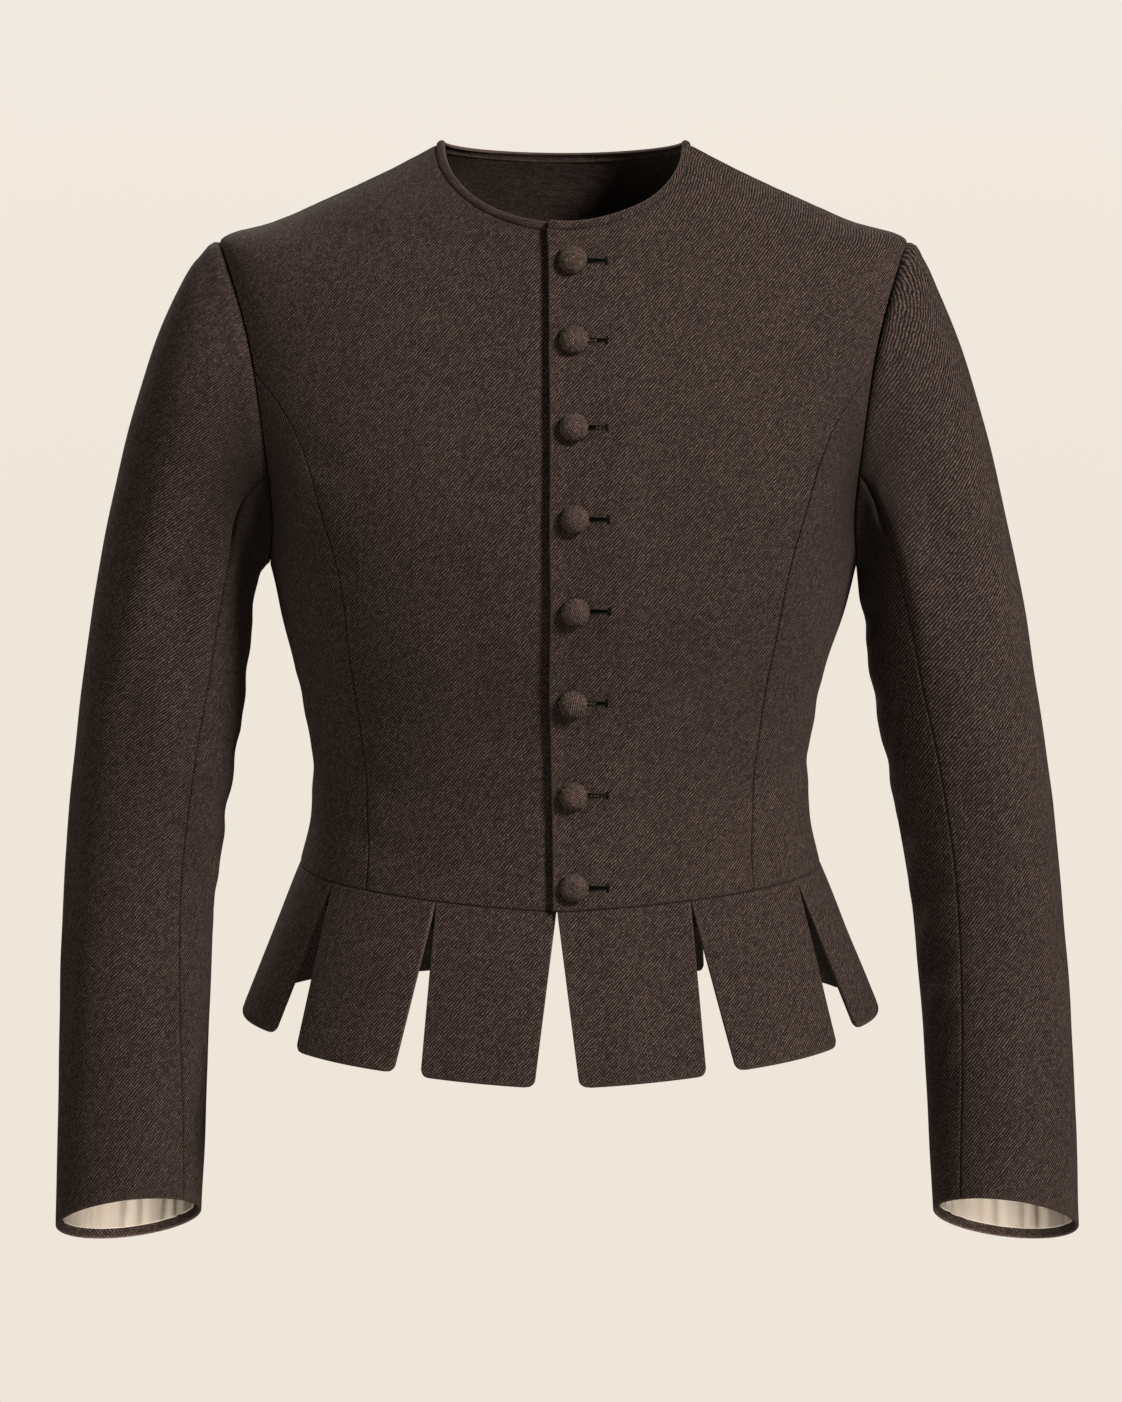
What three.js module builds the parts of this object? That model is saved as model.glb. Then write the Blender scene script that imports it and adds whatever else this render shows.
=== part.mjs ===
// A doublet of woollen cloth: a close bodice that buttons down the front, a skirt of ten tabs,
// and two-piece sleeves. It stands as worn, hollow, with nobody in it.
// Millimetres, +Z up, the front towards -Y and the wearer's left at +X. The origin lies midway
// between the two points where the shoulder seams meet the neckline.

import * as THREE from "three";

// ---------------------------------------------------------------- driving sizes

const CLOTH = 2.5; // outer cloth, interlining and turnings together
const TAB_CLOTH = 3;
const LINING_CLOTH = 1;
const FACING_CLOTH = 1.2;
const GAP = 0.3; // between two pieces at a seam

// The bodice as rings from the waist seam up to the neckline. The middle points are those at the
// centre front and centre back. Up to the armpit a ring's side point is at the wearer's side,
// then it climbs through the armhole to the shoulder point, and on along the shoulder seam.
// square is the power of the ring's outline: 1 is an ellipse, and less is squarer. sweep is 0
// where a ring lies in one slanting plane, 1 where it rises to its side in a soft wave, and 2
// where it dips to a point at the middle.
const BODY_COLUMNS = [
  "halfWidth", "frontDepth", "backDepth", "frontZ", "sideZ", "backZ", "square", "sweep",
];
const BODY_RINGS = [
  [171.5, 120, 112, -482, -471, -470, 0.92, 2], // waist seam
  [164.3, 112, 103, -447, -438, -437, 0.92, 1.7],
  [162.8, 107, 97, -413, -405, -404, 0.92, 1.4], // waist
  [167.8, 108, 98, -378, -370, -370, 0.9, 1.1],
  [174.6, 112, 102, -345, -337, -336, 0.88, 1],
  [184, 117, 108, -311, -304, -302, 0.86, 1],
  [191.4, 120.5, 113, -279, -272, -269, 0.84, 1], // armpit
  [200.5, 121.5, 116, -250, -240, -237, 0.83, 1],
  [211, 120, 117, -222, -205, -206, 0.82, 1],
  [219, 117, 115.5, -196, -170, -176, 0.83, 1], // chest
  [222, 112, 112, -170, -135, -146, 0.86, 1],
  [222.5, 106, 105.5, -145, -100, -116, 0.92, 1],
  [222, 99.5, 97.5, -121, -64, -87, 0.99, 0.95], // shoulder point
  [184.5, 94, 90, -102, -50, -65, 1, 0.8],
  [149, 88, 81.5, -84, -34.4, -45, 1, 0.6],
  [113, 82, 72.5, -66, -17.8, -26, 1, 0.3],
  [77, 75, 62, -48.5, 1.1, -8, 1, 0], // neckline
];
// Away from the side, a place takes in the rings this many stations above and below it, so that
// the corner at the shoulder point fades out over the chest and the back.
const BLEND_REACH = 1.6;
const BLEND_NONE = 6; // up to this station there is no such blending
const BLEND_ALL = 9; // and from here there is all of it
const BLEND_WEIGHTS = [1, 2, 3, 2, 1];
const WAIST_SHIFT = -2.2; // the waist stands this far over to one side
const SHIFT_FROM_Z = -278;
const SHIFT_ALL_Z = -345;
const ARMPIT = 6;
const SHOULDER = 12;
const NECK = BODY_RINGS.length - 1;

// The armhole is an oval round the side. Its turn is 0 at the armpit, 90 at the front, 180 at
// the shoulder and 270 at the back.
const ARMHOLE_FRONT_REACH = 31; // degrees round the ring
const ARMHOLE_BACK_REACH = 27;
const TURN_STEP = 10;
const FRONT_PANEL_TURN = 110; // where the front panel seam meets the armhole
const BACK_PANEL_TURN = 300; // where the side-back seam meets it

// The side panel's two seams up to near the armhole, as stations and angles round the rings.
const SEAM_COLUMNS = ["station", "angle"];
const FRONT_PANEL_SEAM = [
  [0, 45],
  [2, 48.3],
  [4, 46.8],
  [6, 44.4],
  [8, 44.8],
  [9, 47.6],
  [9.6, 53],
];
const BACK_PANEL_SEAM = [
  [0, 131],
  [3, 129],
  [6, 122.5],
];

// The front edges: the left front laps over the right.
const LEFT_EDGE_TOP = -9;
const LEFT_EDGE_WAIST = -4.6;
const LEFT_EDGE_STRAIGHT = 8; // above this station it keeps the top's place
const UNDERLAP = 18; // how far the right front carries on past the middle
const LAP_FLAT = 30; // the left front stands clear of the right up to here
const LAP_END = 62; // and is back in line with it from here

const BINDING_WIDTH = 6;
const BINDING_PROUD = 0.4;
const BINDING_ROUND = 0.5; // how far its upper edge is rounded in
const BINDING_GAP = 0.6; // its edges and the panels' turn round the neck in facets of their own
const BINDING_STEPS = 54;

// The skirt tabs, from the centre front round to the centre back. leftEdge and rightEdge say how
// far to the side the tab ends at the waist seam on each side of the body, and those with none
// share the rest evenly. flare is the tab's angle from upright, spread how far its lower edge is
// moved round from the front, and taper how much narrower that edge is.
const TAB_COLUMNS = ["leftEdge", "rightEdge", "length", "flare", "spread", "taper"];
const TABS = [
  [83.5, 79.3, 112.5, 22, 6, 5],
  [153.9, 147.3, 112, 24, 1, 5],
  [null, null, 106, 22, 0, 3],
  [null, null, 108, 22, 0, 3],
  [null, null, 111, 21, 0, 3],
];
const TAB_CORNER = 5; // radius of the lower corners
const TAB_CORNER_STEP = 0.25; // where the arc's middle facet starts, as a share of the radius
const TAB_START_LEFT = -1.8; // where the first tab starts at the centre front
const TAB_START_RIGHT = 2.3;

const WAIST_FACING = 17; // depth
const FACING_INSET = 3.8; // its outer face lies this far inside the waist seam
const FACING_DROP = 1.6; // and its upper edge this far below it
const FACING_START_LEFT = 3;
const FACING_START_RIGHT = 13;
const FACING_STEPS = 48;

const BUTTON_DIAMETER = 18.6;
const BUTTON_DOME = 6.4;
const BUTTON_RIM = 1.6; // height of the turned rim under the dome
const BUTTON_TUCK = 1.2; // how far the rim draws in below
const BUTTON_SECTIONS = [0.38, 0.7, 0.92]; // the dome's rings, as shares of its radius
const BUTTON_SIDES = 12;
const BUTTON_SHANK_DIAMETER = 9;
const BUTTON_SHANK = 1.2;
const BUTTON_X_TOP = 5.2;
const BUTTON_X_WAIST = 9;
const BUTTON_STEPS = [20.5, 51, 55, 57, 57.5, 60, 60.5, 59.5]; // the first from the edge band

// The sleeves as rings from the armhole down to the cuff, each with an outer and an inner point
// in side-to-side position and height, its reach to the front and back of its own middle, how
// far that middle lies behind the shoulders, and the slant of the ring, front up. sway moves the
// right sleeve out and the left one in. The seams are turns round the ring.
const SLEEVE_COLUMNS = [
  "outerX", "outerZ", "innerX", "innerZ", "front", "back", "middleY", "slant", "sway",
  "frontSeam", "backSeam",
];
const SLEEVE_RINGS = [
  [222, -64, 191.4, -272, 68, 62, 0, 0, 0, 70, 300], // armhole
  [235, -75, 193.5, -275.5, 68, 63, 0, 0, 2, 64, 300],
  [247.5, -98, 195, -279, 67.5, 63.5, 0, 0, 3.5, 59, 300],
  [260, -127, 196, -283, 67, 63.5, 0, 0, 4, 56, 300],
  [272, -162, 197, -288, 66, 63, 0, 0, 4, 55, 300],
  [283.5, -203, 198, -294, 65, 62.5, 0, 0, 4, 55, 300],
  [294, -248, 199.3, -302, 64, 62, 1, 0, 4, 55, 300],
  [303.5, -294, 201, -315, 62.5, 61, 1, 0, 3.5, 56, 300], // upper arm
  [312, -345, 204.5, -347, 60, 59, 1, 1, 3, 58, 300],
  [320, -400, 213, -396, 57, 57, 0, 3, 2, 60, 300],
  [326.5, -455, 222.8, -450, 54, 55, -3, 6, 1, 59, 301], // elbow
  [330.5, -510, 230.5, -503, 51.5, 52, -10, 10, 0, 56, 303],
  [332.8, -563, 234, -554, 48, 48, -21, 13, -1, 53, 305],
  [334, -615, 236.3, -604, 44.5, 44.5, -34, 16, -2, 49, 306],
  [334.8, -660, 237.8, -649, 41, 41, -46, 22, -2.5, 45, 307],
  [335.5, -706, 240, -693, 39, 39, -56, 30, -2.5, 41, 308], // cuff
];
const CUFF = SLEEVE_RINGS.length - 1;
const SLEEVE_STATIONS = [
  0, 0.35, 0.8, 1.4, 2.2, 3.1, 4.1, 5.1, 6.1, 7.2, 8.2, 9.2, 10.2, 11.2, 12.2, 13.3, 14.2, 15,
];
const CAP_STATIONS = 3; // the sleeve keeps something of the armhole's form up to here
const SEAM_TWIST = 5; // degrees: the right sleeve's seams turned in, the left one's out
const TWIST_NONE = 1; // the station down to which there is no twist
const TWIST_ALL = 5; // and the one from which there is all of it

// The long soft folds of the sleeves, as hollows along them. Each has its turn and station, its
// half length in stations, its half width in degrees and its depth.
const FOLD_COLUMNS = ["turn", "station", "length", "width", "depth"];
const FOLDS = {
  left: [
    [118, 6.2, 3.2, 26, 2.6],
    [240, 7.4, 2.6, 24, 2.2],
    [84, 10.4, 2.4, 20, 1.6],
  ],
  right: [
    [104, 7.2, 2.8, 22, 1.6],
    [232, 6.6, 2.8, 25, 2.4],
    [150, 10.8, 2.6, 24, 1.8],
  ],
};

const LINING_HEM = 10; // bare cloth below the sleeve lining
const LINING_DEPTH = 60;
const LINING_ROWS = 3;
const LINING_SIDES = 24;

// ---------------------------------------------------------------- materials

const cloth = (name, color, roughness = 0.95) =>
  new THREE.MeshStandardMaterial({ name, color, roughness, metalness: 0 });
const WOOL = cloth("brown wool twill", 0x41362e);
const WOOL_EDGE = cloth("brown wool edge band", 0x3a3029);
const WOOL_BUTTON = cloth("brown wool button cover", 0x4a3e35, 0.9);
const LINING = cloth("cream lining", 0xddd0bb, 0.85);

// ---------------------------------------------------------------- curves

const radians = THREE.MathUtils.degToRad;
const smooth = THREE.MathUtils.smoothstep;
const mix = THREE.MathUtils.lerp;
const SIDES = { left: 1, right: -1 };

/** Whole numbers from 0 up to and with last. */
const upTo = (last) => Array.from({ length: last + 1 }, (_, i) => i);

/** A curve through the values at the given stations, which never overshoots between them. */
function smoothCurve(stations, values) {
  const secants = upTo(values.length - 2).map(
    (i) => (values[i + 1] - values[i]) / (stations[i + 1] - stations[i]),
  );
  const slopes = values.map((_, i) => {
    const before = secants[Math.max(i - 1, 0)];
    const after = secants[Math.min(i, secants.length - 1)];
    return before * after <= 0 ? 0 : (2 * before * after) / (before + after);
  });
  return (at) => {
    let i = 0;
    while (i < stations.length - 2 && at > stations[i + 1]) i += 1;
    const width = stations[i + 1] - stations[i];
    const s = THREE.MathUtils.clamp((at - stations[i]) / width, 0, 1);
    const rest = 1 - s;
    return (
      values[i] * rest * rest * (1 + 2 * s) +
      values[i + 1] * s * s * (3 - 2 * s) +
      width * s * rest * (slopes[i] * rest - slopes[i + 1] * s)
    );
  };
}

/** A table's columns as curves over its rows. */
function curvesOf(columns, rows) {
  const stations = upTo(rows.length - 1);
  return Object.fromEntries(
    columns.map((name, i) => [name, smoothCurve(stations, rows.map((row) => row[i]))]),
  );
}

/** A table's rows as objects. */
const rowsOf = (columns, rows) =>
  rows.map((row) => Object.fromEntries(columns.map((name, i) => [name, row[i]])));

const body = curvesOf(BODY_COLUMNS, BODY_RINGS);
const sleeve = curvesOf(SLEEVE_COLUMNS, SLEEVE_RINGS);

// ---------------------------------------------------------------- the bodice's surface

/** The point of one of the bodice's rings at an angle from the centre front. */
function ringPoint(angle, station) {
  const forward = Math.cos(radians(angle));
  const sideways = Math.sin(radians(angle));
  const isFront = forward >= 0;
  const square = body.square(station);
  const sweep = body.sweep(station);
  const middleZ = isFront ? body.frontZ(station) : body.backZ(station);
  const depth = isFront ? body.frontDepth(station) : body.backDepth(station);
  const wave = sideways * sideways;
  const climb = sweep < 1
    ? mix(1 - Math.abs(forward), wave, sweep)
    : mix(wave, Math.abs(sideways), sweep - 1);
  return new THREE.Vector3(
    body.halfWidth(station) * Math.sign(sideways) * Math.abs(sideways) ** square,
    -depth * Math.sign(forward) * Math.abs(forward) ** square,
    middleZ + (body.sideZ(station) - middleZ) * climb,
  );
}

/** The point of the bodice's outer face at an angle from the centre front and a station up. */
function bodyPoint(angle, station) {
  const share = Math.abs(Math.cos(radians(angle))) * smooth(station, BLEND_NONE, BLEND_ALL);
  const reach = Math.min(BLEND_REACH * share, NECK - station);
  const middle = (BLEND_WEIGHTS.length - 1) / 2;
  const point = new THREE.Vector3();
  let total = 0;
  BLEND_WEIGHTS.forEach((weight, i) => {
    const from = station + (reach * (i - middle)) / middle;
    point.addScaledVector(ringPoint(angle, from), weight);
    total += weight;
  });
  return point.divideScalar(total);
}

const NORMAL_ANGLE = 0.6; // steps to each side for the bodice's normals, in degrees and stations
const NORMAL_STATION = 0.03;

function bodyNormal(angle, station) {
  const low = Math.max(station - NORMAL_STATION, 0);
  const high = Math.min(station + NORMAL_STATION, NECK);
  const round = bodyPoint(angle + NORMAL_ANGLE, station).sub(bodyPoint(angle - NORMAL_ANGLE, station));
  const up = bodyPoint(angle, high).sub(bodyPoint(angle, low));
  return round.cross(up).normalize();
}

const onBody = (angle, station, out) =>
  bodyPoint(angle, station).addScaledVector(bodyNormal(angle, station), out);

/** The angle at which a ring's front reaches a given side-to-side position. */
function angleAtX(x, station) {
  const share = Math.abs(x) / body.halfWidth(station);
  return Math.sign(x) * THREE.MathUtils.radToDeg(Math.asin(share ** (1 / body.square(station))));
}

/** The angles that split a ring between two angles into shares of its length. */
function anglesAlong(from, to, station, shares) {
  const steps = 120;
  const angles = upTo(steps).map((i) => mix(from, to, i / steps));
  const lengths = [0];
  for (let i = 1; i <= steps; i += 1) {
    const step = bodyPoint(angles[i], station).distanceTo(bodyPoint(angles[i - 1], station));
    lengths.push(lengths[i - 1] + step);
  }
  return shares.map((share) => {
    const wanted = share * lengths[steps];
    const i = Math.max(1, lengths.findIndex((length) => length >= wanted - 1e-9));
    return mix(angles[i - 1], angles[i], (wanted - lengths[i - 1]) / (lengths[i] - lengths[i - 1]));
  });
}

/** Shares that split a length into equal parts. */
const evenShares = (count) => upTo(count).map((i) => i / count);

/** The armhole's place at a turn, as an angle and a station. */
function armhole(turn) {
  const reach = turn <= 180 ? ARMHOLE_FRONT_REACH : ARMHOLE_BACK_REACH;
  return {
    angle: 90 - reach * Math.sin(radians(turn)),
    station: ARMPIT + ((SHOULDER - ARMPIT) * (1 - Math.cos(radians(turn)))) / 2,
  };
}

/** A side panel's seam, carried on to where it meets the armhole. */
function panelSeam(rows, turn) {
  const places = [...rowsOf(SEAM_COLUMNS, rows), armhole(turn)];
  return smoothCurve(places.map((place) => place.station), places.map((place) => place.angle));
}
const frontSeam = panelSeam(FRONT_PANEL_SEAM, FRONT_PANEL_TURN);
const backSeam = panelSeam(BACK_PANEL_SEAM, BACK_PANEL_TURN);

/** How far the left front stands out over the right one's underlap. */
const lapLift = (x) => (CLOTH + GAP) * (1 - smooth(x, LAP_FLAT, LAP_END));

/** The station that lies a distance below the neckline. */
function belowNeck(angle, distance) {
  const step = 0.1;
  const rise = bodyPoint(angle, NECK).distanceTo(bodyPoint(angle, NECK - step)) / step;
  return NECK - distance / rise;
}

// ---------------------------------------------------------------- walls of cloth

/** A closed wall between two grids of points, with its faces pointing out. */
function wallBetween(outer, inner) {
  const rows = outer.length;
  const columns = outer[0].length;
  const positions = [...outer.flat(), ...inner.flat()].flatMap((p) => [p.x, p.y, p.z]);
  const at = (layer, row, column) => layer * rows * columns + row * columns + column;
  const faces = [];
  const quad = (a, b, c, d) => faces.push([a, b, c], [a, c, d]);
  for (let r = 0; r < rows - 1; r += 1) {
    for (let c = 0; c < columns - 1; c += 1) {
      quad(at(0, r, c), at(0, r, c + 1), at(0, r + 1, c + 1), at(0, r + 1, c));
      quad(at(1, r, c), at(1, r + 1, c), at(1, r + 1, c + 1), at(1, r, c + 1));
    }
  }
  const last = columns - 1;
  const top = rows - 1;
  for (let c = 0; c < last; c += 1) {
    quad(at(0, 0, c + 1), at(0, 0, c), at(1, 0, c), at(1, 0, c + 1));
    quad(at(0, top, c), at(0, top, c + 1), at(1, top, c + 1), at(1, top, c));
  }
  for (let r = 0; r < top; r += 1) {
    quad(at(0, r, 0), at(0, r + 1, 0), at(1, r + 1, 0), at(1, r, 0));
    quad(at(0, r + 1, last), at(0, r, last), at(1, r, last), at(1, r + 1, last));
  }
  return solidFrom(positions, faces);
}

/** A closed wall between two grids whose last column meets their first. */
function tubeBetween(outer, inner) {
  const rows = outer.length;
  const columns = outer[0].length;
  const positions = [...outer.flat(), ...inner.flat()].flatMap((p) => [p.x, p.y, p.z]);
  const at = (layer, row, column) => (layer * rows + row) * columns + (column % columns);
  const faces = [];
  const quad = (a, b, c, d) => faces.push([a, b, c], [a, c, d]);
  for (let c = 0; c < columns; c += 1) {
    for (let r = 0; r < rows - 1; r += 1) {
      quad(at(0, r, c), at(0, r, c + 1), at(0, r + 1, c + 1), at(0, r + 1, c));
      quad(at(1, r, c), at(1, r + 1, c), at(1, r + 1, c + 1), at(1, r, c + 1));
    }
    quad(at(0, 0, c + 1), at(0, 0, c), at(1, 0, c), at(1, 0, c + 1));
    quad(at(0, rows - 1, c), at(0, rows - 1, c + 1), at(1, rows - 1, c + 1), at(1, rows - 1, c));
  }
  return solidFrom(positions, faces);
}

/** A geometry of the faces, turned over if they would point in. */
function solidFrom(positions, faces) {
  const point = (i) => new THREE.Vector3().fromArray(positions, 3 * i);
  const volume = faces.reduce((sum, [a, b, c]) => sum + point(a).dot(point(b).cross(point(c))), 0);
  const geometry = new THREE.BufferGeometry();
  geometry.setAttribute("position", new THREE.Float32BufferAttribute(positions, 3));
  geometry.setIndex(faces.flatMap(([a, b, c]) => (volume > 0 ? [a, b, c] : [a, c, b])));
  geometry.computeVertexNormals();
  return geometry;
}

/** Moves one edge of a grid of points back into the cloth, square to that edge. */
function trim(edge, next, distance) {
  const moves = edge.map((p, i) => {
    const along = edge[Math.min(i + 1, edge.length - 1)].clone().sub(edge[Math.max(i - 1, 0)]);
    return next[i].clone().sub(p).projectOnPlane(along.normalize()).setLength(distance);
  });
  edge.forEach((p, i) => p.add(moves[i]));
}

const column = (grid, i) => grid.map((row) => row.at(i));

/** Trims the named edges of a grid: start and end are its first and last column. */
function trimEdges(grid, { start = 0, end = 0, bottom = 0, top = 0 }) {
  if (start) trim(column(grid, 0), column(grid, 1), start);
  if (end) trim(column(grid, -1), column(grid, -2), end);
  if (bottom) trim(grid[0], grid[1], bottom);
  if (top) trim(grid.at(-1), grid.at(-2), top);
}

/** Shifts a grid along its own directions in or out of the cloth's face. */
const offset = (grid, directions, distance) =>
  grid.map((row, r) => row.map((p, c) => p.clone().addScaledVector(directions[r][c], distance)));

const mirrored = (grid, side) =>
  grid.map((row) => row.map((p) => new THREE.Vector3(side * p.x, p.y, p.z)));

/** A panel of the bodice over a grid of places, each an angle, a station and its lift. */
function bodicePanel(places, trims, side = 1, thickness = CLOTH) {
  const outer = places.map((row) => row.map((p) => onBody(p.angle, p.station, p.lift ?? 0)));
  const normals = places.map((row) => row.map((p) => bodyNormal(p.angle, p.station)));
  trimEdges(outer, trims);
  return wallBetween(mirrored(outer, side), mirrored(offset(outer, normals, -thickness), side));
}

// ---------------------------------------------------------------- bodice panels

const PANEL_ROWS = 10; // from the waist seam to where a panel seam meets the armhole
const YOKE_ROWS = 5; // along the shoulder seam

/** The stations of a front or back's rows, and the angle of its outer edge at each. */
function outerEdge(seam, turn, way) {
  const junction = armhole(turn).station;
  const lower = upTo(PANEL_ROWS - 1).map((i) => {
    const station = (junction * i) / PANEL_ROWS;
    return { station, angle: seam(station) };
  });
  const steps = Math.round(Math.abs(180 - turn) / TURN_STEP);
  const middle = upTo(steps).map((i) => armhole(turn + way * i * TURN_STEP));
  const yoke = upTo(YOKE_ROWS).slice(1).map((i) => ({
    station: mix(SHOULDER, NECK, i / YOKE_ROWS),
    angle: 90,
  }));
  return [...lower, ...middle, ...yoke];
}

const FRONT_COLUMNS = 10;

/** One front, from its edge out to the panel seam, the armhole and the shoulder seam. */
function frontPanel(side, edgeAt, liftAt) {
  const rows = outerEdge(frontSeam, FRONT_PANEL_TURN, 1);
  const places = rows.map(({ station, angle }) => {
    const edge = angleAtX(edgeAt(station), station);
    return anglesAlong(edge, angle, station, evenShares(FRONT_COLUMNS)).map((here) => ({
      angle: here,
      station: Math.min(station, belowNeck(here, BINDING_WIDTH + BINDING_GAP)),
    }));
  });
  const spaced = spreadTop(places).map((row) =>
    row.map((p) => ({ ...p, lift: liftAt(bodyPoint(p.angle, p.station).x) })),
  );
  return bodicePanel(spaced, { end: GAP / 2, bottom: GAP / 2 }, side);
}

/** Spaces the rows over the shoulder evenly below the edge band. */
function spreadTop(places) {
  const from = places.length - 1 - YOKE_ROWS;
  const top = places.at(-1).map((p) => ({ ...p }));
  return places.map((row, r) =>
    row.map((p, c) => {
      if (r <= from) return p;
      const share = (r - from) / YOKE_ROWS;
      return { ...p, station: mix(places[from][c].station, top[c].station, share) };
    }),
  );
}

const leftEdge = (station) =>
  mix(LEFT_EDGE_WAIST, LEFT_EDGE_TOP, smooth(station, 0, LEFT_EDGE_STRAIGHT));

const BACK_COLUMNS = 14;

function backPanel() {
  const rows = outerEdge(backSeam, BACK_PANEL_TURN, -1);
  const places = rows.map(({ station, angle }) =>
    anglesAlong(angle, 360 - angle, station, evenShares(BACK_COLUMNS)).map((here) => ({
      angle: here,
      station: Math.min(station, belowNeck(here, BINDING_WIDTH + BINDING_GAP)),
    })),
  );
  return bodicePanel(spreadTop(places), { start: GAP / 2, end: GAP / 2, bottom: GAP / 2 });
}

/** A side panel: its four edges are the waist seam, two panel seams and the foot of the armhole. */
function sidePanel(side) {
  const firstTurn = FRONT_PANEL_TURN;
  const lastTurn = BACK_PANEL_TURN - 360;
  const columns = (firstTurn - lastTurn) / TURN_STEP;
  const frontTop = armhole(firstTurn).station;
  const backTop = armhole(BACK_PANEL_TURN).station;
  const place = (u, v) => {
    const turn = mix(firstTurn, lastTurn, u);
    const foot = armhole(turn < 0 ? turn + 360 : turn);
    const start = { angle: frontSeam(v * frontTop), station: v * frontTop };
    const end = { angle: backSeam(v * backTop), station: v * backTop };
    const blend = (key, low) => {
      const bottom = key === "angle" ? mix(frontSeam(0), backSeam(0), u) : 0;
      const corners = mix(
        mix(low.start, low.end, u),
        mix(armhole(firstTurn)[key], armhole(BACK_PANEL_TURN)[key], u),
        v,
      );
      return mix(bottom, foot[key], v) + mix(start[key], end[key], u) - corners;
    };
    return {
      angle: blend("angle", { start: frontSeam(0), end: backSeam(0) }),
      station: blend("station", { start: 0, end: 0 }),
    };
  };
  const places = upTo(PANEL_ROWS).map((r) =>
    upTo(columns).map((c) => place(c / columns, r / PANEL_ROWS)),
  );
  const half = GAP / 2;
  return bodicePanel(places, { start: half, end: half, bottom: half, top: half }, side);
}

/** The band round the neck, from the left front's edge round the back to the right front's. */
function neckBinding() {
  const bandMiddle = belowNeck(0, BINDING_WIDTH / 2);
  const start = angleAtX(LEFT_EDGE_TOP, bandMiddle);
  const end = 360 + angleAtX(UNDERLAP, bandMiddle);
  const section = [
    { below: BINDING_WIDTH, out: 0 },
    { below: BINDING_WIDTH / 2, out: BINDING_PROUD },
    { below: 0, out: -BINDING_ROUND },
    { below: 0, out: BINDING_ROUND - CLOTH },
    { below: BINDING_WIDTH / 2, out: -CLOTH - BINDING_PROUD },
    { below: BINDING_WIDTH, out: -CLOTH },
  ];
  const half = section.length / 2;
  const rowsAt = (part) =>
    part.map(({ below, out }) =>
      upTo(BINDING_STEPS).map((i) => {
        const angle = mix(start, end, i / BINDING_STEPS);
        const station = belowNeck(angle, below);
        const lift = angle < 90 ? lapLift(bodyPoint(angle, station).x) : 0;
        return onBody(angle, station, lift + out);
      }),
    );
  return wallBetween(rowsAt(section.slice(0, half)), rowsAt(section.slice(half).reverse()));
}

// ---------------------------------------------------------------- the skirt

const TAB_COLUMN_COUNT = 5;
const TAB_ROW_COUNT = 3;

/** One tab: it hangs from the waist seam in straight lines, and its lower corners are rounded. */
function skirtTab(tab, from, to, side, liftAt) {
  const level = new THREE.Vector3(0, 0, 1);
  const middle = bodyNormal((from + to) / 2, 0).projectOnPlane(level).normalize();
  const round = new THREE.Vector3().crossVectors(level, middle);
  const flare = radians(tab.flare);
  const fall = new THREE.Vector3(0, 0, -Math.cos(flare))
    .addScaledVector(middle, Math.sin(flare))
    .addScaledVector(round, tab.spread / tab.length)
    .normalize();
  const width = bodyPoint(from, 0).distanceTo(bodyPoint(to, 0));
  const corner = TAB_CORNER / width;
  const inside = upTo(TAB_COLUMN_COUNT - 2).map((i) =>
    mix(corner, 1 - corner, i / (TAB_COLUMN_COUNT - 2)));
  const cut = TAB_CORNER_STEP * corner;
  const across = [0, cut, ...inside, 1 - cut, 1];
  const lengthAt = (u) => {
    const fromEdge = Math.min(u, 1 - u) * width;
    const off = Math.max(TAB_CORNER - fromEdge, 0);
    return tab.length - TAB_CORNER + Math.sqrt(TAB_CORNER ** 2 - off ** 2);
  };
  const outer = upTo(TAB_ROW_COUNT).map((r) =>
    across.map((u) => {
      const angle = mix(from, to, u);
      const down = (lengthAt(u) * r) / TAB_ROW_COUNT;
      return onBody(angle, 0, liftAt(bodyPoint(angle, 0).x))
        .addScaledVector(fall, down)
        .addScaledVector(round, ((0.5 - u) * tab.taper * down) / tab.length);
    }),
  );
  const normals = outer.map(() =>
    across.map((u) => {
      const angle = mix(from, to, u);
      const along = bodyPoint(angle + NORMAL_ANGLE, 0).sub(bodyPoint(angle - NORMAL_ANGLE, 0));
      return fall.clone().cross(along).normalize();
    }),
  );
  trimEdges(outer, { start: GAP / 2, end: GAP / 2, bottom: GAP / 2 });
  const inner = offset(outer, normals, -TAB_CLOTH);
  return wallBetween(mirrored(outer, side), mirrored(inner, side));
}

/** The facing that hangs inside the tabs, open at the centre front. */
function waistFacing() {
  const start = angleAtX(FACING_START_LEFT, 0);
  const end = 360 - angleAtX(FACING_START_RIGHT, 0);
  const rowsAt = (inset) =>
    [0, WAIST_FACING].map((depth) =>
      upTo(FACING_STEPS).map((i) => {
        const angle = mix(start, end, i / FACING_STEPS);
        const point = onBody(angle, 0, -inset);
        point.z = bodyPoint(angle, 0).z - FACING_DROP - depth;
        return point;
      }),
    );
  return wallBetween(rowsAt(FACING_INSET), rowsAt(FACING_INSET + FACING_CLOTH));
}

// ---------------------------------------------------------------- buttons

/** How far to the side the line of buttons runs at a station. */
const buttonX = (station) => mix(BUTTON_X_WAIST, BUTTON_X_TOP, station / NECK);

/** The stations of the buttons' middles, in steps down the left front from the edge band. */
function buttonStations() {
  const step = 0.02;
  const at = (station) => bodyPoint(angleAtX(buttonX(station), station), station);
  let station = belowNeck(0, BINDING_WIDTH);
  return BUTTON_STEPS.map((distance) => {
    let travelled = 0;
    while (travelled < distance) {
      travelled += at(station).distanceTo(at(station - step));
      station -= step;
    }
    return station;
  });
}

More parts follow.
